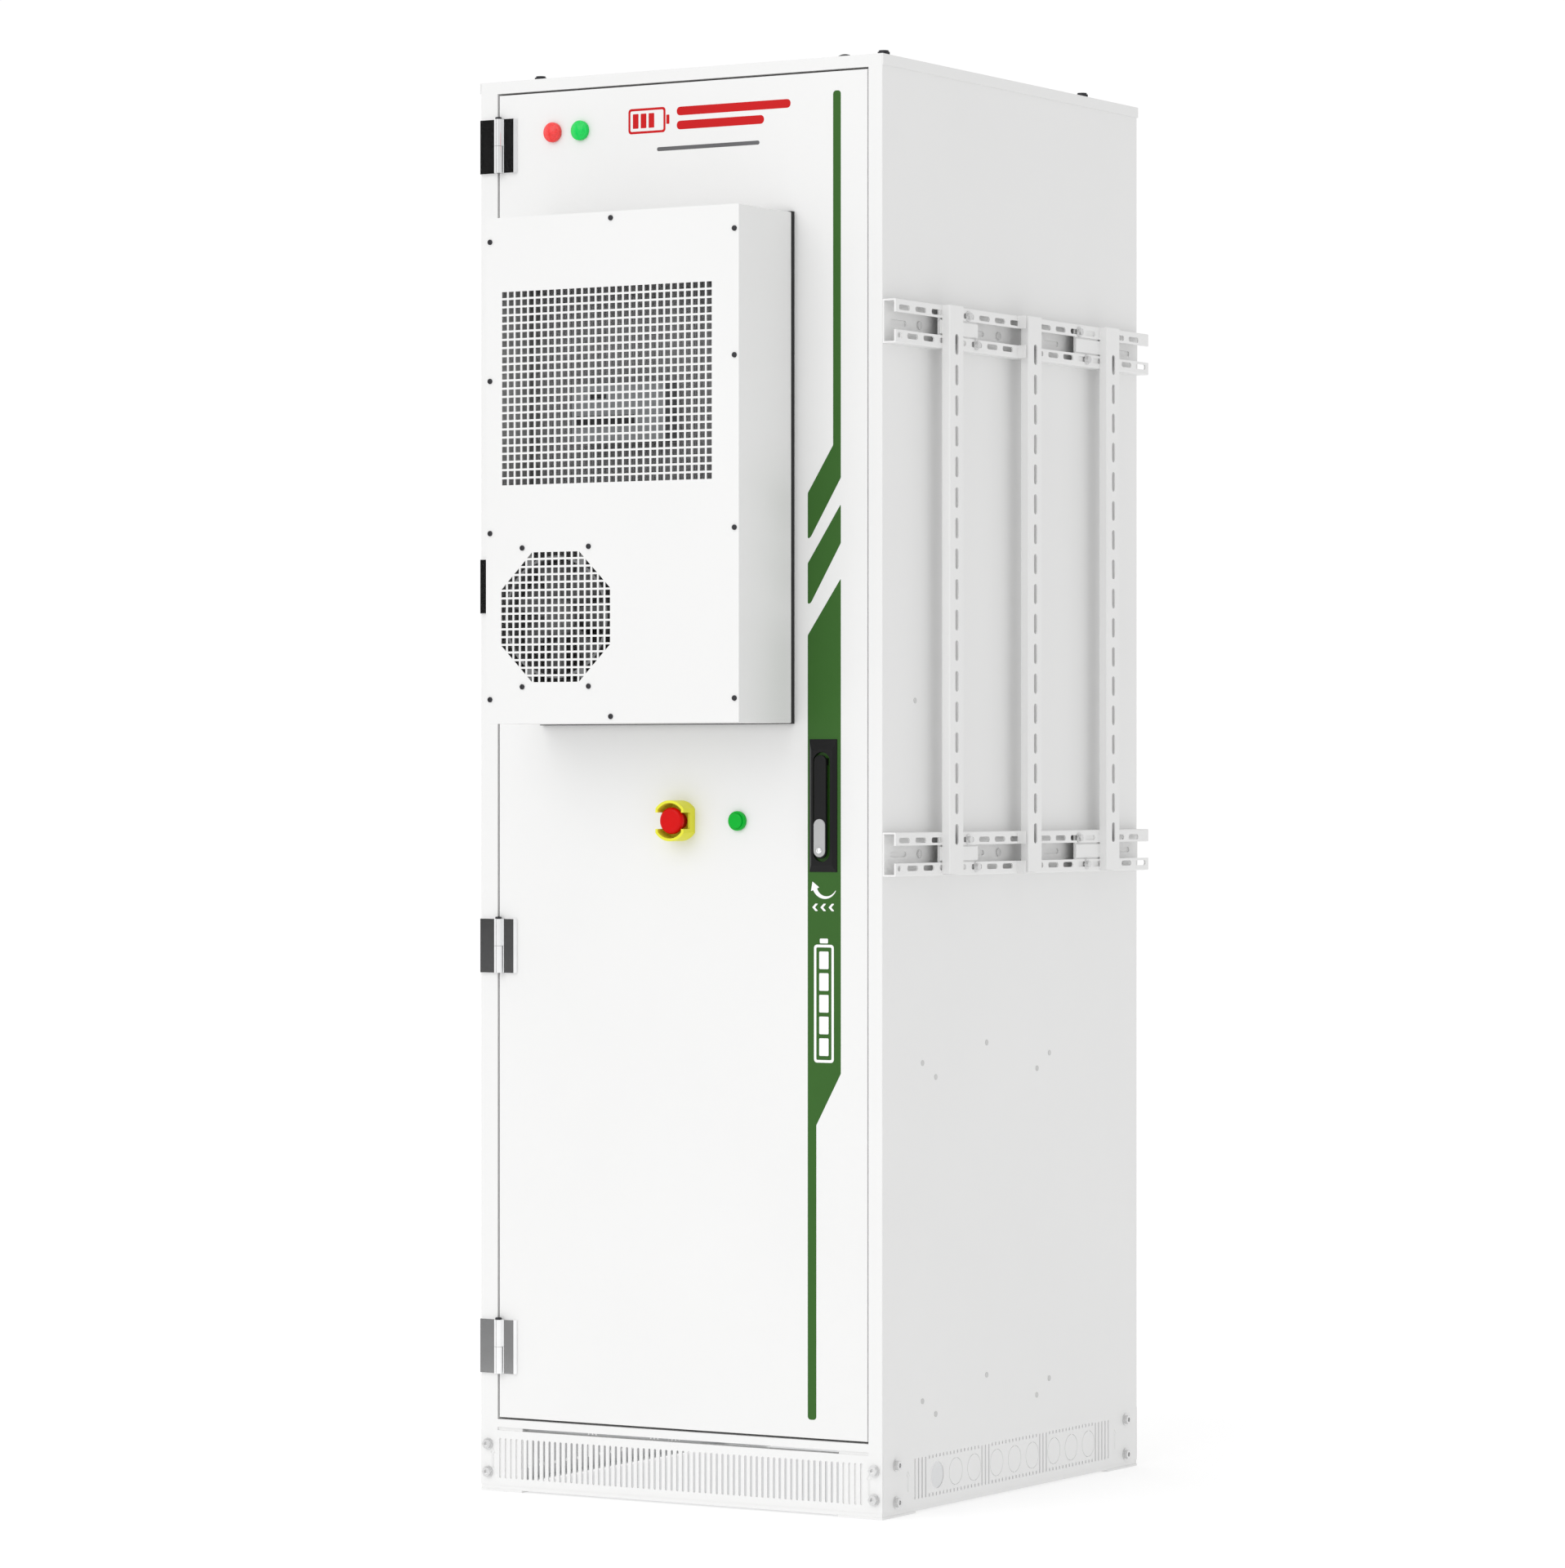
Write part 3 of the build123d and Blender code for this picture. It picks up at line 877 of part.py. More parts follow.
def pinion_outline():
    """Points of one gear, tooth by tooth, with a tooth on the local X axis."""
    half_at_pitch = HALF_TOOTH / PITCH_R + involute(PITCH_R)
    radii = [ROOT_R] + [BASE_R + (TIP_R - BASE_R) * i / 4 for i in range(5)]
    flank = [(r, half_at_pitch - involute(max(r, BASE_R))) for r in radii]
    points = []
    for tooth in range(TEETH):
        centre = tooth * 2 * math.pi / TEETH
        for r, half in flank:
            points.append((r * math.cos(centre - half), r * math.sin(centre - half)))
        for r, half in reversed(flank):
            points.append((r * math.cos(centre + half), r * math.sin(centre + half)))
    return points


SPINDLE_AXIS = (HANDLE_X, PIVOT_Z)
with BuildPart() as handle_spindle:
    discs(on_axis(FRONT + 5.7, SPINDLE_AXIS), [(0, 0)], 9.0, 2.7)
    discs(on_axis(FRONT + 5.7, SPINDLE_AXIS), [(0, 0)], SPINDLE_R, -36.0)
    block((HANDLE_X - 5.7, HANDLE_X + 5.7), (PIVOT_Y, FRONT + 3.5), (PIVOT_Z - 4.2, PIVOT_Z + 4.2))
    with BuildSketch(facing_right(HANDLE_X - 5.7)) as eye:
        with Locations((PIVOT_Y, PIVOT_Z)):
            Circle(4.2)
    extrude(eye.sketch, amount=11.4)
    discs(facing_right(HANDLE_X - 8), [(PIVOT_Y, PIVOT_Z)], 2.0 + FIT, 16, mode=Mode.SUBTRACT)
    with BuildSketch(on_axis(ROD_Y[0], SPINDLE_AXIS)) as gear:
        Polygon(*pinion_outline(), align=None)
    extrude(gear.sketch, amount=ROD_Y[0] - ROD_Y[1])

LEVER_BOTTOM = PIVOT_Z + LEVER_WIDE / 2 - LEVER_LONG
COVER_LONG, COVER_WIDE = 56.0, 19.0
COVER_PIVOT_Z = LEVER_BOTTOM + 2.5 + COVER_WIDE / 2
COVER_Y = (LEVER_FACE - 2.2, LEVER_FACE - 0.2)
KEY_Z = COVER_PIVOT_Z + 32.0
COVER_PIN_R, KEY_R = 2.5, 5.0

with BuildPart() as handle_lever:
    with BuildSketch(facing_front(LEVER_BACK)) as outline:
        with Locations((HANDLE_X, LEVER_BOTTOM + LEVER_LONG / 2)):
            SlotOverall(LEVER_LONG, LEVER_WIDE, rotation=90)
    extrude(outline.sketch, amount=LEVER_BACK - LEVER_FACE)
    fillet(handle_lever.faces().sort_by(Axis.Y)[0].edges(), radius=1.2)
    for side in (-1, 1):
        block(span(HANDLE_X + side * 6.0, HANDLE_X + side * 9.0), (LEVER_BACK, PIVOT_Y + 2.5),
              (PIVOT_Z - 5.0, PIVOT_Z + 5.0))
    discs(facing_right(HANDLE_X - 9.0), [(PIVOT_Y, PIVOT_Z)], 2.0, 18)
    discs(facing_front(LEVER_BACK), [(HANDLE_X, COVER_PIVOT_Z)], COVER_PIN_R + FIT, 5, mode=Mode.SUBTRACT)
    discs(facing_front(LEVER_BACK), [(HANDLE_X, KEY_Z)], KEY_R + FIT, 5, mode=Mode.SUBTRACT)

with BuildPart() as key_plug:
    discs(facing_front(LEVER_BACK), [(HANDLE_X, KEY_Z)], KEY_R, LEVER_BACK - LEVER_FACE)
    block((HANDLE_X - 0.8, HANDLE_X + 0.8), (LEVER_FACE - 1, LEVER_FACE + 3), (KEY_Z - 3, KEY_Z + 3),
          mode=Mode.SUBTRACT)

with BuildPart() as key_cover:
    with BuildSketch(facing_front(COVER_Y[1])) as outline:
        with Locations((HANDLE_X, COVER_PIVOT_Z + (COVER_LONG - COVER_WIDE) / 2)):
            SlotOverall(COVER_LONG, COVER_WIDE, rotation=90)
    extrude(outline.sketch, amount=COVER_Y[1] - COVER_Y[0])
    fillet(key_cover.faces().sort_by(Axis.Y)[0].edges(), radius=0.8)
    with BuildSketch(Plane(origin=(HANDLE_X, COVER_Y[0], COVER_PIVOT_Z), x_dir=(1, 0, 0),
                           z_dir=(0, 0, 1))) as half:
        with BuildLine():
            Line((0, 0), (4.75, 0))
            TangentArc((0, -2.9), (4.75, 0), tangent=(1, 0))
            Line((0, -2.9), (0, 0))
        make_face()
    revolve(half.sketch, axis=Axis((HANDLE_X, 0, COVER_PIVOT_Z), (0, 1, 0)))
    discs(facing_rear(COVER_Y[1]), [(-HANDLE_X, COVER_PIVOT_Z)], COVER_PIN_R, 4.4)


def rack_rod(side, low, high, tooth_numbers):
    """Flat rod on one side of the pinion, toothed where the pinion meets it."""
    near = HANDLE_X + side * (PITCH_R + DEDENDUM)
    slope = math.tan(PRESSURE)
    with BuildPart() as rod:
        block(span(near, near + side * ROD_WIDE), ROD_Y, (low, high))
        for number in tooth_numbers:
            z = PIVOT_Z + (number + 0.5) * RACK_PITCH
            root, tip = HALF_TOOTH + DEDENDUM * slope, HALF_TOOTH - ADDENDUM * slope
            far = near - side * (DEDENDUM + ADDENDUM)
            with BuildSketch(facing_front(ROD_Y[1])) as tooth:
                Polygon((near + side, z - root), (near, z - root), (far, z - tip), (far, z + tip),
                        (near, z + root), (near + side, z + root), align=None)
            extrude(tooth.sketch, amount=ROD_Y[1] - ROD_Y[0])
    return rod.part


with BuildPart() as upper_rod:
    add(rack_rod(1, PIVOT_Z - 12.0, ROD_TOP, range(-2, 6)))
with BuildPart() as lower_rod:
    add(rack_rod(-1, ROD_BOTTOM, PIVOT_Z + 12.0, range(-6, 2)))

ROD_NEAR = PITCH_R + DEDENDUM
GUIDE_GAP = 0.4
with BuildPart() as latch_brackets:
    block((215, 295), (-370.5, -367.5), (1078, 1143))
    for x in (215, 292):
        block((x, x + 3), (FRONT + SHEET, -367.5), (1078, 1143))
    discs(facing_front(-370.5 - 1), [SPINDLE_AXIS], SPINDLE_R + FIT, -5, mode=Mode.SUBTRACT)
    for side, places in ((1, (1230.0, 1500.0, 1790.0, 2070.0)), (-1, (940.0, 780.0, 480.0, 180.0))):
        x = span(HANDLE_X + side * ROD_NEAR, HANDLE_X + side * (ROD_NEAR + ROD_WIDE))
        for z in places:
            block((x[0] - 5, x[1] + 5), (FRONT + SHEET, ROD_Y[1] + 5), (z - 7, z + 7))
            block((x[0] - GUIDE_GAP, x[1] + GUIDE_GAP), (ROD_Y[0] - GUIDE_GAP, ROD_Y[1] + GUIDE_GAP),
                  (z - 8, z + 8), mode=Mode.SUBTRACT)

# ---------------------------------------------------------------- output
NODES = {
    "plinth_corners": plinth_corners, "plinth_panels": plinth_panels, "plinth_bolts": plinth_bolts,
    "corner_posts": corner_posts, "frame_rails": frame_rails, "rebate_strips": rebate_strips,
    "base_pan": base_pan, "cable_glands": cable_glands, "side_panels": side_panels,
    "rear_panel": rear_panel, "roof_panel": roof_panel, "lifting_bolts": lifting_bolts,
    "roof_antenna": roof_antenna, "hole_plugs": hole_plugs, "frame_hinge_leaves": frame_hinge_leaves,
    "hinge_pins": hinge_pins, "strut_channels": strut_channels, "mounting_rails": mounting_rails,
    "rail_brackets": rail_brackets, "rail_bolts": rail_bolts, "battery_rack": battery_rack,
    "battery_modules": battery_modules, "module_handles": module_handles, "link_bars": link_bars,
    "control_box": control_box, "main_breaker": main_breaker, "breaker_toggle": breaker_toggle,
    "rod_keepers": rod_keepers, "door_panel": door_panel, "door_stiffeners": door_stiffeners,
    "door_gasket": door_gasket, "door_hinge_leaves": door_hinge_leaves,
    "pilot_lamp_red": pilot_lamp_red, "pilot_lamp_green": pilot_lamp_green,
    "estop_shroud": estop_shroud, "estop_base": estop_base, "estop_plunger": estop_plunger,
    "estop_head": estop_head, "contact_blocks": contact_blocks,
    "start_button_collar": start_button_collar, "start_button_cap": start_button_cap,
    "ac_casing": ac_casing, "ac_cover": ac_cover, "ac_screws": ac_screws, "ac_gasket": ac_gasket,
    "ac_condenser": ac_condenser, "ac_control_box": ac_control_box, "ac_compressor": ac_compressor,
    "ac_fan_frame": ac_fan_frame, "ac_fan_rotor": ac_fan_rotor, "ac_inner_casing": ac_inner_casing,
    "ac_blower_rotor": ac_blower_rotor, "handle_housing": handle_housing,
    "handle_spindle": handle_spindle, "handle_lever": handle_lever, "key_plug": key_plug,
    "key_cover": key_cover, "upper_rod": upper_rod, "lower_rod": lower_rod,
    "latch_brackets": latch_brackets,
}
for node_name, builder in NODES.items():
    save(builder.part, node_name)
print(len(NODES), "nodes written")
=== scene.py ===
"""Looks of an outdoor battery cabinet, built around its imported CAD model.

Metres, in the row frame: +Z up, the door faces -Y, +X to the right of someone facing the door.
Helpers that draw on the door take millimetres and say so.
"""
import math

import bmesh
import bpy
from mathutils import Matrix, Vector


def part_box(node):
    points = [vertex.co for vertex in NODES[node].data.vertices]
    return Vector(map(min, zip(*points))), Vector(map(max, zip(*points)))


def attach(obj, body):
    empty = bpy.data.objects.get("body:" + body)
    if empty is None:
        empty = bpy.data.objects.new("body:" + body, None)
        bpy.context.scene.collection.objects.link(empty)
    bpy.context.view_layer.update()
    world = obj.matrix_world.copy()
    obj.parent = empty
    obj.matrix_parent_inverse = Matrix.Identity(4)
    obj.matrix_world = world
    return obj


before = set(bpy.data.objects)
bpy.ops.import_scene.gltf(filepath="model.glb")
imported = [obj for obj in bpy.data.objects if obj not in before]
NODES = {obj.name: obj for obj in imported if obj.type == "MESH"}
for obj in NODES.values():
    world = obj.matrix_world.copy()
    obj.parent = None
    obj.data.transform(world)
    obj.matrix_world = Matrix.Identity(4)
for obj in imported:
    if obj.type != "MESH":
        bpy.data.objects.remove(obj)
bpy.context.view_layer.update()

MM = 0.001


# ---------------------------------------------------------------- places read from the frame
def middle(node):
    low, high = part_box(node)
    return (low + high) / 2


DOOR_LOW, DOOR_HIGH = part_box("door_panel")
DOOR_FACE = DOOR_LOW.y
HANDLE = middle("handle_housing")
MODULES_LOW, MODULES_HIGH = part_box("battery_modules")
COIL_LOW, COIL_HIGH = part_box("ac_condenser")
AC_CONTROL_LOW, AC_CONTROL_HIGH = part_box("ac_control_box")


# ---------------------------------------------------------------- materials
TINT_STOPS = (0.3, 0.7)     # where a texture's dark and light tones are reached
SPANGLE = 140.0             # zinc flakes per metre
PRISMS = 420.0              # lens prisms per metre
ALONG_Z = (2600.0, 2600.0, 60.0)    # polishing lines
FIN_LINES = (900.0, 900.0, 4.0)     # upright lines of a coil


class Surface:
    """One node-based material: a Principled shader with helpers that feed it procedural detail."""

    def __init__(self, name, colour, roughness, metallic=0.0):
        self.material = bpy.data.materials.new(name)
        self.material.use_nodes = True
        tree = self.material.node_tree
        self.nodes, self.links = tree.nodes, tree.links
        self.shader = self.nodes["Principled BSDF"]
        self.colour = colour
        self.shader.inputs["Base Color"].default_value = (*colour, 1)
        self.shader.inputs["Roughness"].default_value = roughness
        self.shader.inputs["Metallic"].default_value = metallic
        self.place = self.nodes.new("ShaderNodeTexCoord").outputs["Object"]

    def set(self, **sockets):
        for name, value in sockets.items():
            self.shader.inputs[name.replace("_", " ")].default_value = value

    def stretched(self, scale):
        mapping = self.nodes.new("ShaderNodeMapping")
        mapping.inputs["Scale"].default_value = scale
        self.links.new(self.place, mapping.inputs["Vector"])
        return mapping.outputs["Vector"]

    def noise(self, scale, detail=3.0, stretch=None):
        texture = self.nodes.new("ShaderNodeTexNoise")
        texture.inputs["Scale"].default_value = scale
        texture.inputs["Detail"].default_value = detail
        self.links.new(self.stretched(stretch) if stretch else self.place, texture.inputs["Vector"])
        return texture.outputs["Fac"]

    def cells(self, scale, output="Color"):
        texture = self.nodes.new("ShaderNodeTexVoronoi")
        texture.inputs["Scale"].default_value = scale
        self.links.new(self.place, texture.inputs["Vector"])
        return texture.outputs[output]

    def between(self, factor, low, high, top=1.0):
        """Spreads a factor of 0 to top over low to high."""
        spread = self.nodes.new("ShaderNodeMapRange")
        spread.inputs["From Max"].default_value = top
        spread.inputs["To Min"].default_value = low
        spread.inputs["To Max"].default_value = high
        self.links.new(factor, spread.inputs["Value"])
        return spread.outputs["Result"]

    def tint(self, factor, darker, lighter=1.0):
        """Colour that varies between two strengths of the base colour."""
        ramp = self.nodes.new("ShaderNodeValToRGB")
        dark_stop, light_stop = ramp.color_ramp.elements
        dark_stop.position, light_stop.position = TINT_STOPS
        dark_stop.color = (*[c * darker for c in self.colour], 1)
        light_stop.color = (*[min(1.0, c * lighter) for c in self.colour], 1)
        self.links.new(factor, ramp.inputs["Fac"])
        self.links.new(ramp.outputs["Color"], self.shader.inputs["Base Color"])

    def rough(self, factor, low, high):
        self.links.new(self.between(factor, low, high), self.shader.inputs["Roughness"])

    def bump(self, height, strength, distance):
        relief = self.nodes.new("ShaderNodeBump")
        relief.inputs["Strength"].default_value = strength
        relief.inputs["Distance"].default_value = distance
        self.links.new(height, relief.inputs["Height"])
        self.links.new(relief.outputs["Normal"], self.shader.inputs["Normal"])


def powder_coat(name, colour, roughness=0.42):
    """Fine-textured powder coat: a faint orange peel and very slight clouding."""
    coat = Surface(name, colour, roughness)
    coat.tint(coat.noise(4.0), 0.985)
    coat.rough(coat.noise(60.0), roughness - 0.05, roughness + 0.06)
    coat.bump(coat.noise(1400.0, detail=2.0), 0.10, 0.00005)
    return coat.material


def galvanised(name, colour):
    """Zinc spangle: flakes a few millimetres across, each with its own tone."""
    zinc = Surface(name, colour, 0.42, metallic=0.9)
    zinc.tint(zinc.cells(SPANGLE), 0.78, 1.08)
    zinc.rough(zinc.cells(SPANGLE, "Distance"), 0.34, 0.52)
    zinc.bump(zinc.noise(500.0), 0.08, 0.0001)
    return zinc.material


def plated(name, colour, roughness, grain=0.0):
    """Chrome or zinc plate with faint polishing lines along Z."""
    plate = Surface(name, colour, roughness, metallic=1.0)
    lines = plate.noise(1.0, detail=4.0, stretch=ALONG_Z)
    plate.tint(plate.noise(25.0), 0.93)
    plate.rough(lines, roughness, roughness + 0.06 + grain)
    plate.bump(lines, 0.03 + grain, 0.00002)
    return plate.material


def moulded(name, colour, roughness, texture=900.0, depth=0.00006, sheen=0.4):
    """Moulded plastic with a spark-eroded grain and slight sheen changes."""
    plastic = Surface(name, colour, roughness)
    plastic.set(Specular_IOR_Level=sheen)
    plastic.tint(plastic.noise(18.0), 0.93, 1.04)
    plastic.rough(plastic.noise(90.0), roughness - 0.04, roughness + 0.06)
    plastic.bump(plastic.noise(texture, detail=2.0), 0.18, depth)
    return plastic.material


def glossy(name, colour, roughness):
    """Shiny moulded cap of deeply dyed plastic."""
    cap = Surface(name, colour, roughness)
    cap.set(Coat_Weight=0.06, Coat_Roughness=0.08, Specular_IOR_Level=0.14)
    cap.tint(cap.noise(30.0), 0.95, 1.03)
    cap.rough(cap.noise(120.0), roughness, roughness + 0.05)
    cap.bump(cap.noise(700.0, detail=2.0), 0.04, 0.00003)
    return cap.material


def lens(name, colour, glow):
    """Translucent lamp lens with the moulded prisms behind its face."""
    body = Surface(name, colour, 0.16)
    body.set(Coat_Weight=0.25, Coat_Roughness=0.05, Specular_IOR_Level=0.25)
    body.set(Subsurface_Weight=0.35, Subsurface_Scale=0.004)
    body.set(Emission_Color=(*colour, 1), Emission_Strength=glow)
    body.tint(body.cells(PRISMS, "Distance"), 0.90, 1.05)
    body.bump(body.cells(PRISMS, "Distance"), 0.10, 0.0002)
    return body.material


def rubber(name, colour):
    """Matt foam with open cells."""
    foam = Surface(name, colour, 0.85)
    foam.tint(foam.noise(60.0), 0.8, 1.15)
    foam.rough(foam.noise(200.0), 0.78, 0.95)
    foam.bump(foam.cells(1500.0, "Distance"), 0.35, 0.0002)
    return foam.material


def vinyl(name, colour):
    """Cut adhesive film, smoother than the paint that it is on."""
    film = Surface(name, colour, 0.34)
    film.set(Specular_IOR_Level=0.2)
    film.tint(film.noise(12.0), 0.96, 1.02)
    film.rough(film.noise(45.0), 0.30, 0.40)
    film.bump(film.noise(300.0), 0.03, 0.00003)
    return film.material


def finned_coil(name, colour):
    """Aluminium fins, seen as fine upright lines."""
    coil = Surface(name, colour, 0.5, metallic=0.6)
    lines = coil.noise(1.0, detail=1.0, stretch=FIN_LINES)
    coil.tint(lines, 0.78, 1.10)
    coil.rough(coil.noise(40.0), 0.42, 0.6)
    coil.bump(lines, 0.5, 0.0004)
    return coil.material


WHITE = powder_coat("white_coat", (0.81, 0.81, 0.806))
GREY_COAT = powder_coat("grey_coat", (0.30, 0.31, 0.32), 0.5)
GALVANISED = galvanised("galvanised_sheet", (0.62, 0.64, 0.66))
ZINC = plated("bright_zinc", (0.74, 0.74, 0.74), 0.22, grain=0.06)
CHROME = plated("chrome_plate", (0.93, 0.935, 0.94), 0.05)
BLACK_STEEL = plated("black_oxide", (0.055, 0.055, 0.06), 0.30, grain=0.04)
BLACK = moulded("black_plastic", (0.028, 0.028, 0.030), 0.48)
WHITE_PLASTIC = moulded("white_plastic", (0.60, 0.60, 0.595), 0.45)
GREY = moulded("grey_plastic", (0.16, 0.162, 0.164), 0.5)
HANDLE_BLACK = moulded("handle_plastic", (0.008, 0.008, 0.0085), 0.34, sheen=0.18)
COVER_GREY = moulded("dust_cover_plastic", (0.41, 0.415, 0.412), 0.45)
MODULE_CASE = moulded("module_case", (0.045, 0.048, 0.052), 0.55, texture=500.0,
                      depth=0.0002)
ORANGE = moulded("insulating_sleeve", (0.80, 0.20, 0.02), 0.5)
RED = glossy("red_cap", (0.63, 0.0, 0.0), 0.34)
GREEN = glossy("green_cap", (0.0, 0.43, 0.03), 0.32)
YELLOW = moulded("guard_yellow", (0.78, 0.765, 0.045), 0.45, sheen=0.25)
RED_LENS = lens("red_lens", (0.80, 0.050, 0.048), 0.07)
GREEN_LENS = lens("green_lens", (0.0, 0.60, 0.09), 0.07)
RUBBER = rubber("foam_rubber", (0.022, 0.022, 0.022))
COIL = finned_coil("condenser_coil", (0.57, 0.57, 0.575))
BAFFLE = powder_coat("baffle_coat", (0.32, 0.32, 0.32), 0.5)
LINER = rubber("liner_foam", (0.74, 0.74, 0.74))
GREEN_FILM = vinyl("green_film", (0.035, 0.120, 0.018))
WHITE_FILM = vinyl("white_film", (0.90, 0.90, 0.90))
RED_FILM = vinyl("red_film", (0.56, 0.004, 0.006))
GREY_FILM = vinyl("grey_film", (0.13, 0.13, 0.135))

FINISHES = {
    WHITE: ["plinth_corners", "plinth_panels", "corner_posts", "frame_rails", "rebate_strips",
            "side_panels", "rear_panel", "roof_panel", "strut_channels", "mounting_rails",
            "rail_brackets", "door_panel", "ac_casing", "ac_cover", "ac_inner_casing"],
    GREY_COAT: ["control_box", "ac_control_box"],
    GALVANISED: ["base_pan", "battery_rack", "door_stiffeners"],
    ZINC: ["plinth_bolts", "rail_bolts", "rod_keepers", "latch_brackets", "handle_spindle",
           "upper_rod", "lower_rod"],
    CHROME: ["frame_hinge_leaves", "door_hinge_leaves", "key_plug"],
    BLACK_STEEL: ["hinge_pins", "lifting_bolts", "ac_screws", "ac_compressor"],
    BLACK: ["cable_glands", "roof_antenna", "module_handles", "main_breaker", "contact_blocks"],
    WHITE_PLASTIC: ["hole_plugs"],
    GREY: ["ac_fan_frame", "ac_fan_rotor", "ac_blower_rotor"],
    HANDLE_BLACK: ["handle_housing", "handle_lever"],
    COVER_GREY: ["key_cover"],
    MODULE_CASE: ["battery_modules"],
    ORANGE: ["link_bars"],
    RED: ["estop_head", "estop_base", "estop_plunger", "breaker_toggle"],
    GREEN: ["start_button_collar", "start_button_cap"],
    YELLOW: ["estop_shroud"],
    RED_LENS: ["pilot_lamp_red"],
    GREEN_LENS: ["pilot_lamp_green"],
    RUBBER: ["door_gasket", "ac_gasket"],
    COIL: ["ac_condenser"],
}
SMOOTH_BELOW = math.radians(32)
WELD_WITHIN = 1e-6


def shade_smoothly(piece):
    """Round faces shade smoothly and flat ones keep their edges."""
    split = piece.modifiers.new("split", "EDGE_SPLIT")
    split.split_angle = SMOOTH_BELOW
    split.use_edge_sharp = False
    for face in piece.data.polygons:
        face.use_smooth = True


for finish, names in FINISHES.items():
    for node_name in names:
        node = NODES[node_name]
        node.data.materials.clear()
        node.data.materials.append(finish)
        node.modifiers.new("weld", "WELD").merge_threshold = WELD_WITHIN
        shade_smoothly(node)


# ---------------------------------------------------------------- piece helpers
def mesh_piece(name, build, body, material):
    """A mesh that build() fills, riding on a body."""
    mesh = bpy.data.meshes.new(name)
    shape = bmesh.new()
    build(shape)
    bmesh.ops.recalc_face_normals(shape, faces=shape.faces)
    shape.to_mesh(mesh)
    shape.free()
    piece = bpy.data.objects.new(name, mesh)
    bpy.context.scene.collection.objects.link(piece)
    piece.data.materials.append(material)
    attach(piece, body)
    return piece


def rounded(points, radius, steps=6):
    """The outline with an arc of up to that radius at each corner."""
    outline = []
    for i, point in enumerate(points):
        corner = Vector(point)
        back = Vector(points[i - 1]) - corner
        ahead = Vector(points[(i + 1) % len(points)]) - corner
        half = back.angle(ahead) / 2
        cut = min(radius / math.tan(half), back.length * 0.45, ahead.length * 0.45)
        inward = (back.normalized() + ahead.normalized()).normalized()
        centre = corner + inward * (cut / math.cos(half))
        start = corner + back.normalized() * cut - centre
        sweep = start.angle_signed(corner + ahead.normalized() * cut - centre)
        turn = math.atan2(start.y, start.x)
        for k in range(steps + 1):
            angle = turn - sweep * k / steps
            outline.append((centre.x + start.length * math.cos(angle),
                            centre.y + start.length * math.sin(angle)))
    return outline


def prism(shape, outline, back, front):
    """A flat plate with that outline, in millimetres, between two places along Y."""
    rear = [shape.verts.new((x * MM, back, z * MM)) for x, z in outline]
    fore = [shape.verts.new((x * MM, front, z * MM)) for x, z in outline]
    shape.faces.new(rear)
    shape.faces.new(fore)
    for i in range(len(outline)):
        shape.faces.new((rear[i - 1], rear[i], fore[i], fore[i - 1]))


def band(shape, outer, inner, back, front):
    """The strip between two outlines that have the same number of points."""
    loops = [[shape.verts.new((x * MM, y, z * MM)) for x, z in outline]
             for outline, y in ((outer, back), (outer, front), (inner, front), (inner, back))]
    for i in range(len(outer)):
        for this, following in zip(loops, loops[1:] + loops[:1]):
            shape.faces.new((this[i - 1], this[i], following[i], following[i - 1]))


FILM_THICK = 0.12 * MM


def film(name, layer, material, outlines=(), frames=()):
    """Thin film on the door front. Outlines are in millimetres across and up."""
    back = DOOR_FACE - layer * FILM_THICK

    def build(shape):
        for outline in outlines:
            prism(shape, outline, back, back - FILM_THICK)
        for outer, inner in frames:
            band(shape, outer, inner, back, back - FILM_THICK)
    mesh_piece(name, build, "door", material)


def rectangle(low, high, radius):
    (x0, z0), (x1, z1) = low, high
    return rounded([(x0, z0), (x1, z0), (x1, z1), (x0, z1)], radius, steps=4)


def frame_of(low, high, wall, radius):
    """Outer and inner outline of a rounded frame."""
    inside_low, inside_high = (low[0] + wall, low[1] + wall), (high[0] - wall, high[1] - wall)
    return rectangle(low, high, radius), rectangle(inside_low, inside_high, radius - wall + 1.0)


# ---------------------------------------------------------------- films on the door
BAND_RIGHT = HANDLE.x / MM + 29.6
BAND_WIDE, BAND_THIN, BAND_FOOT = 56.7, 13.2, 42.0
BAND_LEFT = BAND_RIGHT - BAND_WIDE
BAND_TIP = BAND_LEFT + 5.6
BAND_TOP, BAND_BOTTOM = DOOR_HIGH.z / MM - 28.5, DOOR_LOW.z / MM + 27.3
SLASH_RIGHT = BAND_RIGHT - 2.1

# Three outlines with two slanting gaps between them. The second number of a point is its height.
BAND = [
    [(BAND_RIGHT, BAND_TOP), (BAND_RIGHT - BAND_THIN, BAND_TOP),
     (BAND_RIGHT - BAND_THIN, 1578.0), (BAND_LEFT, 1508.4), (BAND_LEFT, 1440.0),
     (BAND_TIP, 1444.3), (BAND_RIGHT, 1529.7)],
    [(SLASH_RIGHT, 1487.7), (BAND_LEFT, 1404.7), (BAND_LEFT, 1344.0), (BAND_TIP, 1346.7),
     (BAND_RIGHT, 1433.6), (BAND_RIGHT, 1490.5)],
    [(SLASH_RIGHT, 1378.4), (BAND_LEFT, 1298.5), (BAND_LEFT, BAND_BOTTOM),
     (BAND_RIGHT - BAND_FOOT, BAND_BOTTOM), (BAND_RIGHT - BAND_FOOT, 575.5), (BAND_RIGHT, 652.5),
     (BAND_RIGHT, 1381.0)],
]
BAND_ROUND = 5.0
film("door_band", 0, GREEN_FILM, [rounded(outline, BAND_ROUND) for outline in BAND])


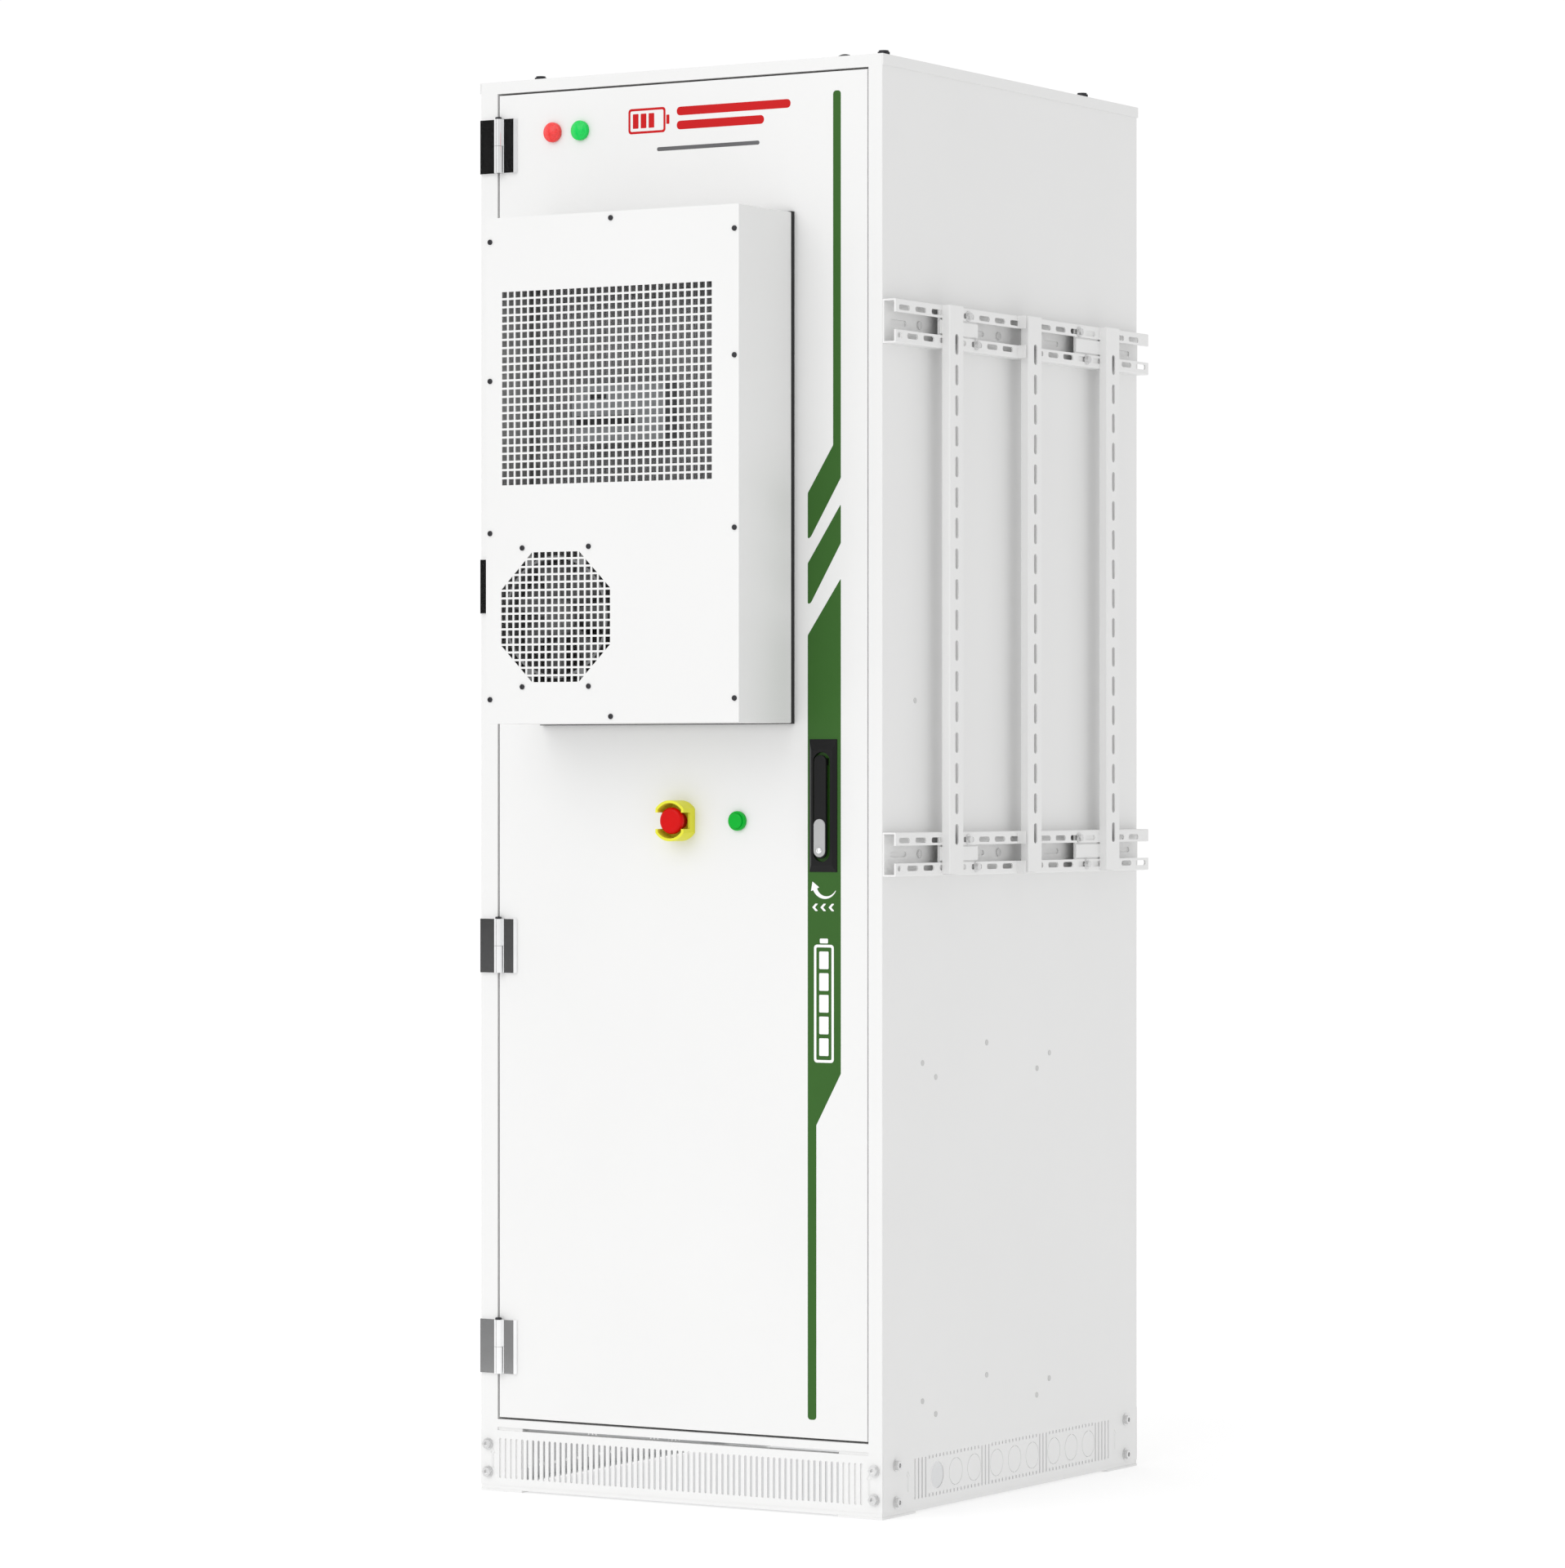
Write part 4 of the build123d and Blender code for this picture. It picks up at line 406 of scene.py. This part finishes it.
def turning_arrow(centre, radius, start, end, widest):
    """A tapered arc that swells towards its arrowhead."""
    steps, thinnest = 18, 0.12
    outer, inner = [], []
    for k in range(steps + 1):
        t = k / steps
        angle = math.radians(start + (end - start) * t)
        half = widest * (thinnest + (1 - thinnest) * t) / 2
        for side, reach in ((outer, radius + half), (inner, radius - half)):
            side.append((centre[0] + reach * math.cos(angle), centre[1] + reach * math.sin(angle)))
    tip = math.radians(end)
    along = Vector((math.sin(tip), -math.cos(tip)))
    across = Vector((math.cos(tip), math.sin(tip)))
    root = Vector(centre) + across * radius
    wing, point = across * widest * 1.05, along * widest * 1.7
    head = [root + wing, root + point, root - wing]
    return [outer + [tuple(p) for p in head] + inner[::-1]]


SIGN_X = HANDLE.x / MM + 0.7
ARROW_CENTRE, ARROW_RADIUS, ARROW_WIDEST = (SIGN_X + 3.0, 931.0), 19.5, 7.2
film("turn_arrow", 1, WHITE_FILM,
     turning_arrow(ARROW_CENTRE, ARROW_RADIUS, -28.0, -158.0, ARROW_WIDEST))


def chevron(x, z, tall, thick):
    """A left-pointing chevron."""
    half = tall / 2
    return rounded([(x + half, z + half), (x, z), (x + half, z - half),
                    (x + half + thick, z - half), (x + thick, z), (x + half + thick, z + half)],
                   0.6, steps=3)


CHEVRON_LEFT, CHEVRON_PITCH, CHEVRON_Z = SIGN_X - 20.0, 14.0, 897.0
CHEVRON_TALL, CHEVRON_THICK = 11.0, 4.6
film("turn_chevrons", 1, WHITE_FILM,
     [chevron(CHEVRON_LEFT + CHEVRON_PITCH * i, CHEVRON_Z, CHEVRON_TALL, CHEVRON_THICK)
      for i in range(3)])

CELL_LOW, CELL_HIGH = (SIGN_X - 17.0, 668.0), (SIGN_X + 17.0, 842.0)
CELL_WALL, FRAME_ROUND = 4.0, 5.0
LEVELS, LEVEL_GAP, LEVEL_INSET, LEVEL_ROUND = 5, 6.0, 9.0, 1.5
level_low = CELL_LOW[1] + CELL_WALL + LEVEL_GAP
level_tall = (CELL_HIGH[1] - CELL_LOW[1] - 2 * CELL_WALL - LEVEL_GAP) / LEVELS - LEVEL_GAP
level_bases = [level_low + i * (level_tall + LEVEL_GAP) for i in range(LEVELS)]
levels = [rectangle((CELL_LOW[0] + LEVEL_INSET, base),
                    (CELL_HIGH[0] - LEVEL_INSET, base + level_tall), LEVEL_ROUND)
          for base in level_bases]
TERMINAL_HALF, TERMINAL_GAP, TERMINAL_END = 7.0, 2.0, 9.0
terminal = rectangle((SIGN_X - TERMINAL_HALF, CELL_HIGH[1] + TERMINAL_GAP),
                     (SIGN_X + TERMINAL_HALF, CELL_HIGH[1] + TERMINAL_END), LEVEL_ROUND)
film("cell_sign", 1, WHITE_FILM, levels + [terminal],
     [frame_of(CELL_LOW, CELL_HIGH, CELL_WALL, FRAME_ROUND)])

SIGN_LEFT, SIGN_RIGHT, SIGN_Z, SIGN_HALF, SIGN_WALL = -87.0, 198.0, 2075.0, 19.0, 3.6
BATTERY_RIGHT = SIGN_LEFT + 66.0
BAR_INSET, BAR_PITCH, BAR_WIDE, BAR_HALF, BAR_ROUND = 8.0, 14.0, 10.0, 11.0, 1.2
NUB_GAP, NUB_END, NUB_HALF = 1.5, 7.0, 7.0
STRIPE_LEFT, STRIPE_HALF, STRIPE_ROUND = BATTERY_RIGHT + 20.0, 6.5, 6.4
STRIPES = ((11.0, 0.0), (-10.0, 46.0))      # height above the sign's middle, how much shorter
bars = [rectangle((x, SIGN_Z - BAR_HALF), (x + BAR_WIDE, SIGN_Z + BAR_HALF), BAR_ROUND)
        for x in [SIGN_LEFT + BAR_INSET + BAR_PITCH * i for i in range(3)]]
nub = rectangle((BATTERY_RIGHT + NUB_GAP, SIGN_Z - NUB_HALF),
                (BATTERY_RIGHT + NUB_END, SIGN_Z + NUB_HALF), BAR_ROUND)
stripes = [rectangle((STRIPE_LEFT, SIGN_Z + z - STRIPE_HALF),
                     (SIGN_RIGHT - cut, SIGN_Z + z + STRIPE_HALF), STRIPE_ROUND)
           for z, cut in STRIPES]
sign_frame = frame_of((SIGN_LEFT, SIGN_Z - SIGN_HALF), (BATTERY_RIGHT, SIGN_Z + SIGN_HALF),
                      SIGN_WALL, FRAME_ROUND)
film("battery_sign", 0, RED_FILM, bars + [nub] + stripes, [sign_frame])
UNDERLINE_LOW, UNDERLINE_HIGH, UNDERLINE_ROUND = (-36.0, 2028.0), (144.0, 2034.0), 3.0
film("sign_underline", 0, GREY_FILM, [rectangle(UNDERLINE_LOW, UNDERLINE_HIGH, UNDERLINE_ROUND)])


# ---------------------------------------------------------------- air conditioner details
def box_of(shape, low, high):
    """Adds a box between two corners to a bmesh."""
    for vertex in bmesh.ops.create_cube(shape, size=1.0)["verts"]:
        for axis in range(3):
            span, centre = high[axis] - low[axis], (low[axis] + high[axis]) / 2
            vertex.co[axis] = centre + vertex.co[axis] * span


FIN_PITCH, FIN_THICK, FIN_PROUD = 2.8 * MM, 0.35 * MM, 2.2 * MM
CORE_LOW, CORE_HIGH = COIL_LOW.x + 17 * MM, COIL_HIGH.x - 17 * MM


def fins(shape):
    """Upright fins over the coil, left out where the control box stands."""
    x = CORE_LOW
    while x < CORE_HIGH:
        spans = [(COIL_LOW.z + 2 * MM, COIL_HIGH.z - 2 * MM)]
        if AC_CONTROL_LOW.x - MM < x < AC_CONTROL_HIGH.x + MM:
            spans = [(spans[0][0], AC_CONTROL_LOW.z - MM), (AC_CONTROL_HIGH.z + MM, spans[0][1])]
        for low, high in spans:
            box_of(shape, (x, COIL_LOW.y - FIN_PROUD, low), (x + FIN_THICK, COIL_LOW.y, high))
        x += FIN_PITCH


mesh_piece("condenser_fins", fins, "door", COIL)


def casing_liner(shape):
    """Insulating sheets on the walls of the casing, behind the perforated front."""
    low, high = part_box("ac_casing")
    wall, foam, open_front = 1.7 * MM, 4 * MM, 8 * MM
    low, high = low + Vector((wall, open_front, wall)), high - Vector((wall, wall, wall))
    inner_low, inner_high = low + Vector((foam, 0, foam)), high - Vector((foam, foam, foam))
    box_of(shape, (low.x, inner_high.y, low.z), (high.x, high.y, high.z))
    box_of(shape, (low.x, low.y, low.z), (inner_low.x, inner_high.y, high.z))
    box_of(shape, (inner_high.x, low.y, low.z), (high.x, inner_high.y, high.z))
    box_of(shape, (inner_low.x, low.y, inner_high.z), (inner_high.x, inner_high.y, high.z))


_, FAN_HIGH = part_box("ac_fan_frame")


def air_baffles(shape):
    """Sheets that close the gaps around the coil, and one that stands behind the fan motor."""
    low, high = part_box("ac_casing")
    inset, flange, thick = 6 * MM, 13.8 * MM, 1.2 * MM
    left, right, top = low.x + inset, high.x - inset, high.z - inset
    front, back = COIL_HIGH.y - 12 * MM, COIL_HIGH.y - 10.8 * MM
    box_of(shape, (left, front, COIL_LOW.z), (COIL_LOW.x + flange, back, COIL_HIGH.z))
    box_of(shape, (COIL_HIGH.x - flange, front, COIL_LOW.z), (right, back, COIL_HIGH.z))
    box_of(shape, (left, COIL_LOW.y, COIL_HIGH.z + 0.5 * MM), (right, COIL_LOW.y + thick, top))
    box_of(shape, (left, FAN_HIGH.y + 2 * MM, low.z + 8 * MM),
           (FAN_HIGH.x + 14 * MM, FAN_HIGH.y + 3.2 * MM, COIL_LOW.z - 2 * MM))


def bevelled(piece, width, segments=3):
    """Rounds the piece's sharp edges."""
    bevel = piece.modifiers.new("bevel", "BEVEL")
    bevel.width = width
    bevel.segments = segments
    bevel.limit_method = "ANGLE"
    shade_smoothly(piece)


# Left, right, bottom and top of the two openings in the control box's face, in millimetres.
WINDOWS = ((-111.5, -9.5, 1610.5, 1626.5), (-87.5, -59.5, 1652.5, 1662.5))


def control_windows(shape):
    """Dark blocks that stand behind the openings of the control box."""
    front, back = AC_CONTROL_LOW.y + 1.5 * MM, AC_CONTROL_LOW.y + 7.5 * MM
    for x0, x1, z0, z1 in WINDOWS:
        box_of(shape, (x0 * MM, front, z0 * MM), (x1 * MM, back, z1 * MM))


bevelled(mesh_piece("casing_liner", casing_liner, "door", LINER), 0.8 * MM, segments=2)
bevelled(mesh_piece("air_baffles", air_baffles, "door", BAFFLE),
         0.3 * MM, segments=2)
bevelled(mesh_piece("control_windows", control_windows, "door", BLACK),
         0.5 * MM)


# ---------------------------------------------------------------- rivet of the dust cover
def dome(shape, centre, radius, height, rings=8, sides=32):
    """Shallow dome that bulges towards -Y."""
    tip = shape.verts.new((centre.x, centre.y - height, centre.z))
    rows = []
    for k in range(1, rings + 1):
        lean = math.pi / 2 * k / rings
        out, y = radius * math.sin(lean), centre.y - height * math.cos(lean)
        row = []
        for i in range(sides):
            turn = 2 * math.pi * i / sides
            x, z = centre.x + out * math.cos(turn), centre.z + out * math.sin(turn)
            row.append(shape.verts.new((x, y, z)))
        rows.append(row)
    for i in range(sides):
        shape.faces.new((tip, rows[0][i], rows[0][i - 1]))
        for upper, lower in zip(rows, rows[1:]):
            shape.faces.new((upper[i - 1], upper[i], lower[i], lower[i - 1]))
    shape.faces.new(rows[-1])


COVER_LOW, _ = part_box("key_cover")
COVER_FACE = COVER_LOW.y + 2.9 * MM
RIVET = Vector((HANDLE.x, COVER_FACE, COVER_LOW.z + 9.5 * MM))
RIVET_RADIUS, RIVET_PROUD = 4.95 * MM, 3.1 * MM


def cover_rivet(shape):
    dome(shape, RIVET, RIVET_RADIUS, RIVET_PROUD)


rivet = mesh_piece("cover_rivet", cover_rivet, "key_cover", CHROME)
for face in rivet.data.polygons:
    face.use_smooth = len(face.vertices) < 5    # all but its flat back


# ---------------------------------------------------------------- battery module fronts
MODULE_TALL, MODULE_PITCH = 240 * MM, 290 * MM
MODULE_COUNT = round((MODULES_HIGH.z - MODULES_LOW.z - MODULE_TALL) / MODULE_PITCH) + 1
MODULE_BASES = [MODULES_LOW.z + i * MODULE_PITCH for i in range(MODULE_COUNT)]
MODULE_FACE = MODULES_LOW.y
BORDER_INSET, BORDER_WIDE, BORDER_PROUD = 6 * MM, 8 * MM, 2.5 * MM
RIB_PITCH, RIB_HALF, RIB_PROUD, RIBS_EACH_SIDE = 10 * MM, 2 * MM, 4 * MM, 7
RIB_LOW, RIB_HIGH = 60 * MM, 180 * MM
LIGHTS, LIGHT_LEFT, LIGHT_PITCH, LIGHT_Z = 4, -30 * MM, 20 * MM, 205 * MM
LIGHT_RADIUS, LIGHT_PROUD = 3 * MM, 2.2 * MM


def module_bezels(shape):
    """A raised border and a field of upright ribs on each module."""
    x0, x1 = MODULES_LOW.x + BORDER_INSET, MODULES_HIGH.x - BORDER_INSET
    for z in MODULE_BASES:
        z0, z1 = z + BORDER_INSET, z + MODULE_TALL - BORDER_INSET
        inner0, inner1 = z0 + BORDER_WIDE, z1 - BORDER_WIDE
        for low, high in (((x0, z0), (x1, inner0)), ((x0, inner1), (x1, z1)),
                          ((x0, inner0), (x0 + BORDER_WIDE, inner1)),
                          ((x1 - BORDER_WIDE, inner0), (x1, inner1))):
            box_of(shape, (low[0], MODULE_FACE - BORDER_PROUD, low[1]),
                   (high[0], MODULE_FACE, high[1]))
        for i in range(-RIBS_EACH_SIDE, RIBS_EACH_SIDE + 1):
            x = i * RIB_PITCH
            box_of(shape, (x - RIB_HALF, MODULE_FACE - RIB_PROUD, z + RIB_LOW),
                   (x + RIB_HALF, MODULE_FACE, z + RIB_HIGH))


bezels = mesh_piece("module_bezels", module_bezels, "cabinet", MODULE_CASE)
bevelled(bezels, 0.8 * MM, segments=2)


def status_lights(shape):
    """A row of small lamps on each module."""
    for z in MODULE_BASES:
        for i in range(LIGHTS):
            place = Vector((LIGHT_LEFT + i * LIGHT_PITCH, MODULE_FACE, z + LIGHT_Z))
            dome(shape, place, LIGHT_RADIUS, LIGHT_PROUD, rings=4, sides=16)


mesh_piece("status_lights", status_lights, "cabinet", GREEN_LENS)


# ---------------------------------------------------------------- floor, light and camera
FLOOR_REACH, FLOOR_DROP = 30.0, 0.0005
FLOOR_GREY, FLOOR_GLOW = 0.54, 0.52
DOME_FADES = {"From Min": -0.35, "From Max": 0.5, "To Min": 1.02, "To Max": 0.78}
KEY_FROM, KEY_STRENGTH, KEY_SPREAD = Vector((-0.12, -0.84, 0.53)), 0.66, math.radians(50)
CARD_CENTRE, CARD_HALF = Vector((-1.16, -1.645, 0)), Vector((0.83, -0.56, 0)) * 0.16
CARD_TALL, CARD_GLOW, CARD_GLOW_TOP = 2.7, 0.27, 1.1
CAMERA_PLACE, CAMERA_TURN, CAMERA_LENS = (4.6287, -7.7315, 1.0789), math.radians(31.226), 133.24


def flat_sheet(name, corners, surface):
    mesh = bpy.data.meshes.new(name)
    mesh.from_pydata(corners, [], [(0, 1, 2, 3)])
    mesh.materials.append(surface.material)
    sheet = bpy.data.objects.new(name, mesh)
    bpy.context.scene.collection.objects.link(sheet)
    return sheet


def floor():
    """Pale floor that glows a little, so that it merges with the background."""
    pale = Surface("floor_paint", (FLOOR_GREY, FLOOR_GREY, FLOOR_GREY), 0.9)
    pale.tint(pale.noise(0.3), 0.99)
    pale.set(Emission_Color=(1, 1, 1, 1), Emission_Strength=FLOOR_GLOW, Specular_IOR_Level=0.0)
    turns = ((-1, -1), (1, -1), (1, 1), (-1, 1))
    corners = [(x * FLOOR_REACH, y * FLOOR_REACH, 0) for x, y in turns]
    plane = flat_sheet("floor", corners, pale)
    plane.location.z = -FLOOR_DROP


def studio():
    """White dome that lights less from the right, and a wide soft key from the front left."""
    world = bpy.data.worlds.new("studio")
    world.use_nodes = True
    nodes, links = world.node_tree.nodes, world.node_tree.links
    split = nodes.new("ShaderNodeSeparateXYZ")
    links.new(nodes.new("ShaderNodeTexCoord").outputs["Generated"], split.inputs["Vector"])
    level = nodes.new("ShaderNodeMapRange")
    level.interpolation_type = "SMOOTHSTEP"
    for socket, value in DOME_FADES.items():
        level.inputs[socket].default_value = value
    links.new(split.outputs["X"], level.inputs["Value"])
    seen = nodes.new("ShaderNodeMath")      # the camera always sees a white background
    seen.operation = "MAXIMUM"
    links.new(level.outputs["Result"], seen.inputs[0])
    links.new(nodes.new("ShaderNodeLightPath").outputs["Is Camera Ray"], seen.inputs[1])
    links.new(seen.outputs["Value"], nodes["Background"].inputs["Strength"])
    nodes["Background"].inputs["Color"].default_value = (1, 1, 1, 1)
    bpy.context.scene.world = world
    sun = bpy.data.lights.new("key", "SUN")
    sun.energy = KEY_STRENGTH
    sun.angle = KEY_SPREAD
    key = bpy.data.objects.new("key", sun)
    key.rotation_euler = KEY_FROM.to_track_quat("Z", "Y").to_euler()
    bpy.context.scene.collection.objects.link(key)


def reflection_card():
    """Dark card at the front left that only reflections see: the chrome hinges mirror it."""
    dark = Surface("card_black", (0.01, 0.01, 0.01), 1.0)
    height = dark.nodes.new("ShaderNodeSeparateXYZ")
    dark.links.new(dark.place, height.inputs["Vector"])
    glow = dark.between(height.outputs["Z"], CARD_GLOW, 0.0, top=CARD_GLOW_TOP)
    dark.links.new(glow, dark.shader.inputs["Emission Strength"])
    dark.set(Emission_Color=(1, 1, 1, 1), Specular_IOR_Level=0.0)
    up = Vector((0, 0, CARD_TALL))
    left, right = CARD_CENTRE - CARD_HALF, CARD_CENTRE + CARD_HALF
    card = flat_sheet("reflection_card", [left, right, right + up, left + up], dark)
    card.visible_camera = False
    card.visible_diffuse = False
    card.visible_shadow = False


def camera():
    lens_data = bpy.data.cameras.new("camera")
    lens_data.lens = CAMERA_LENS
    lens_data.sensor_width = 36.0
    lens_data.sensor_fit = "HORIZONTAL"
    view = bpy.data.objects.new("camera", lens_data)
    view.location = CAMERA_PLACE
    view.rotation_euler = (math.radians(90), 0, CAMERA_TURN)
    bpy.context.scene.collection.objects.link(view)
    bpy.context.scene.camera = view


floor()
studio()
reflection_card()
camera()
bpy.context.scene.view_settings.view_transform = "Standard"
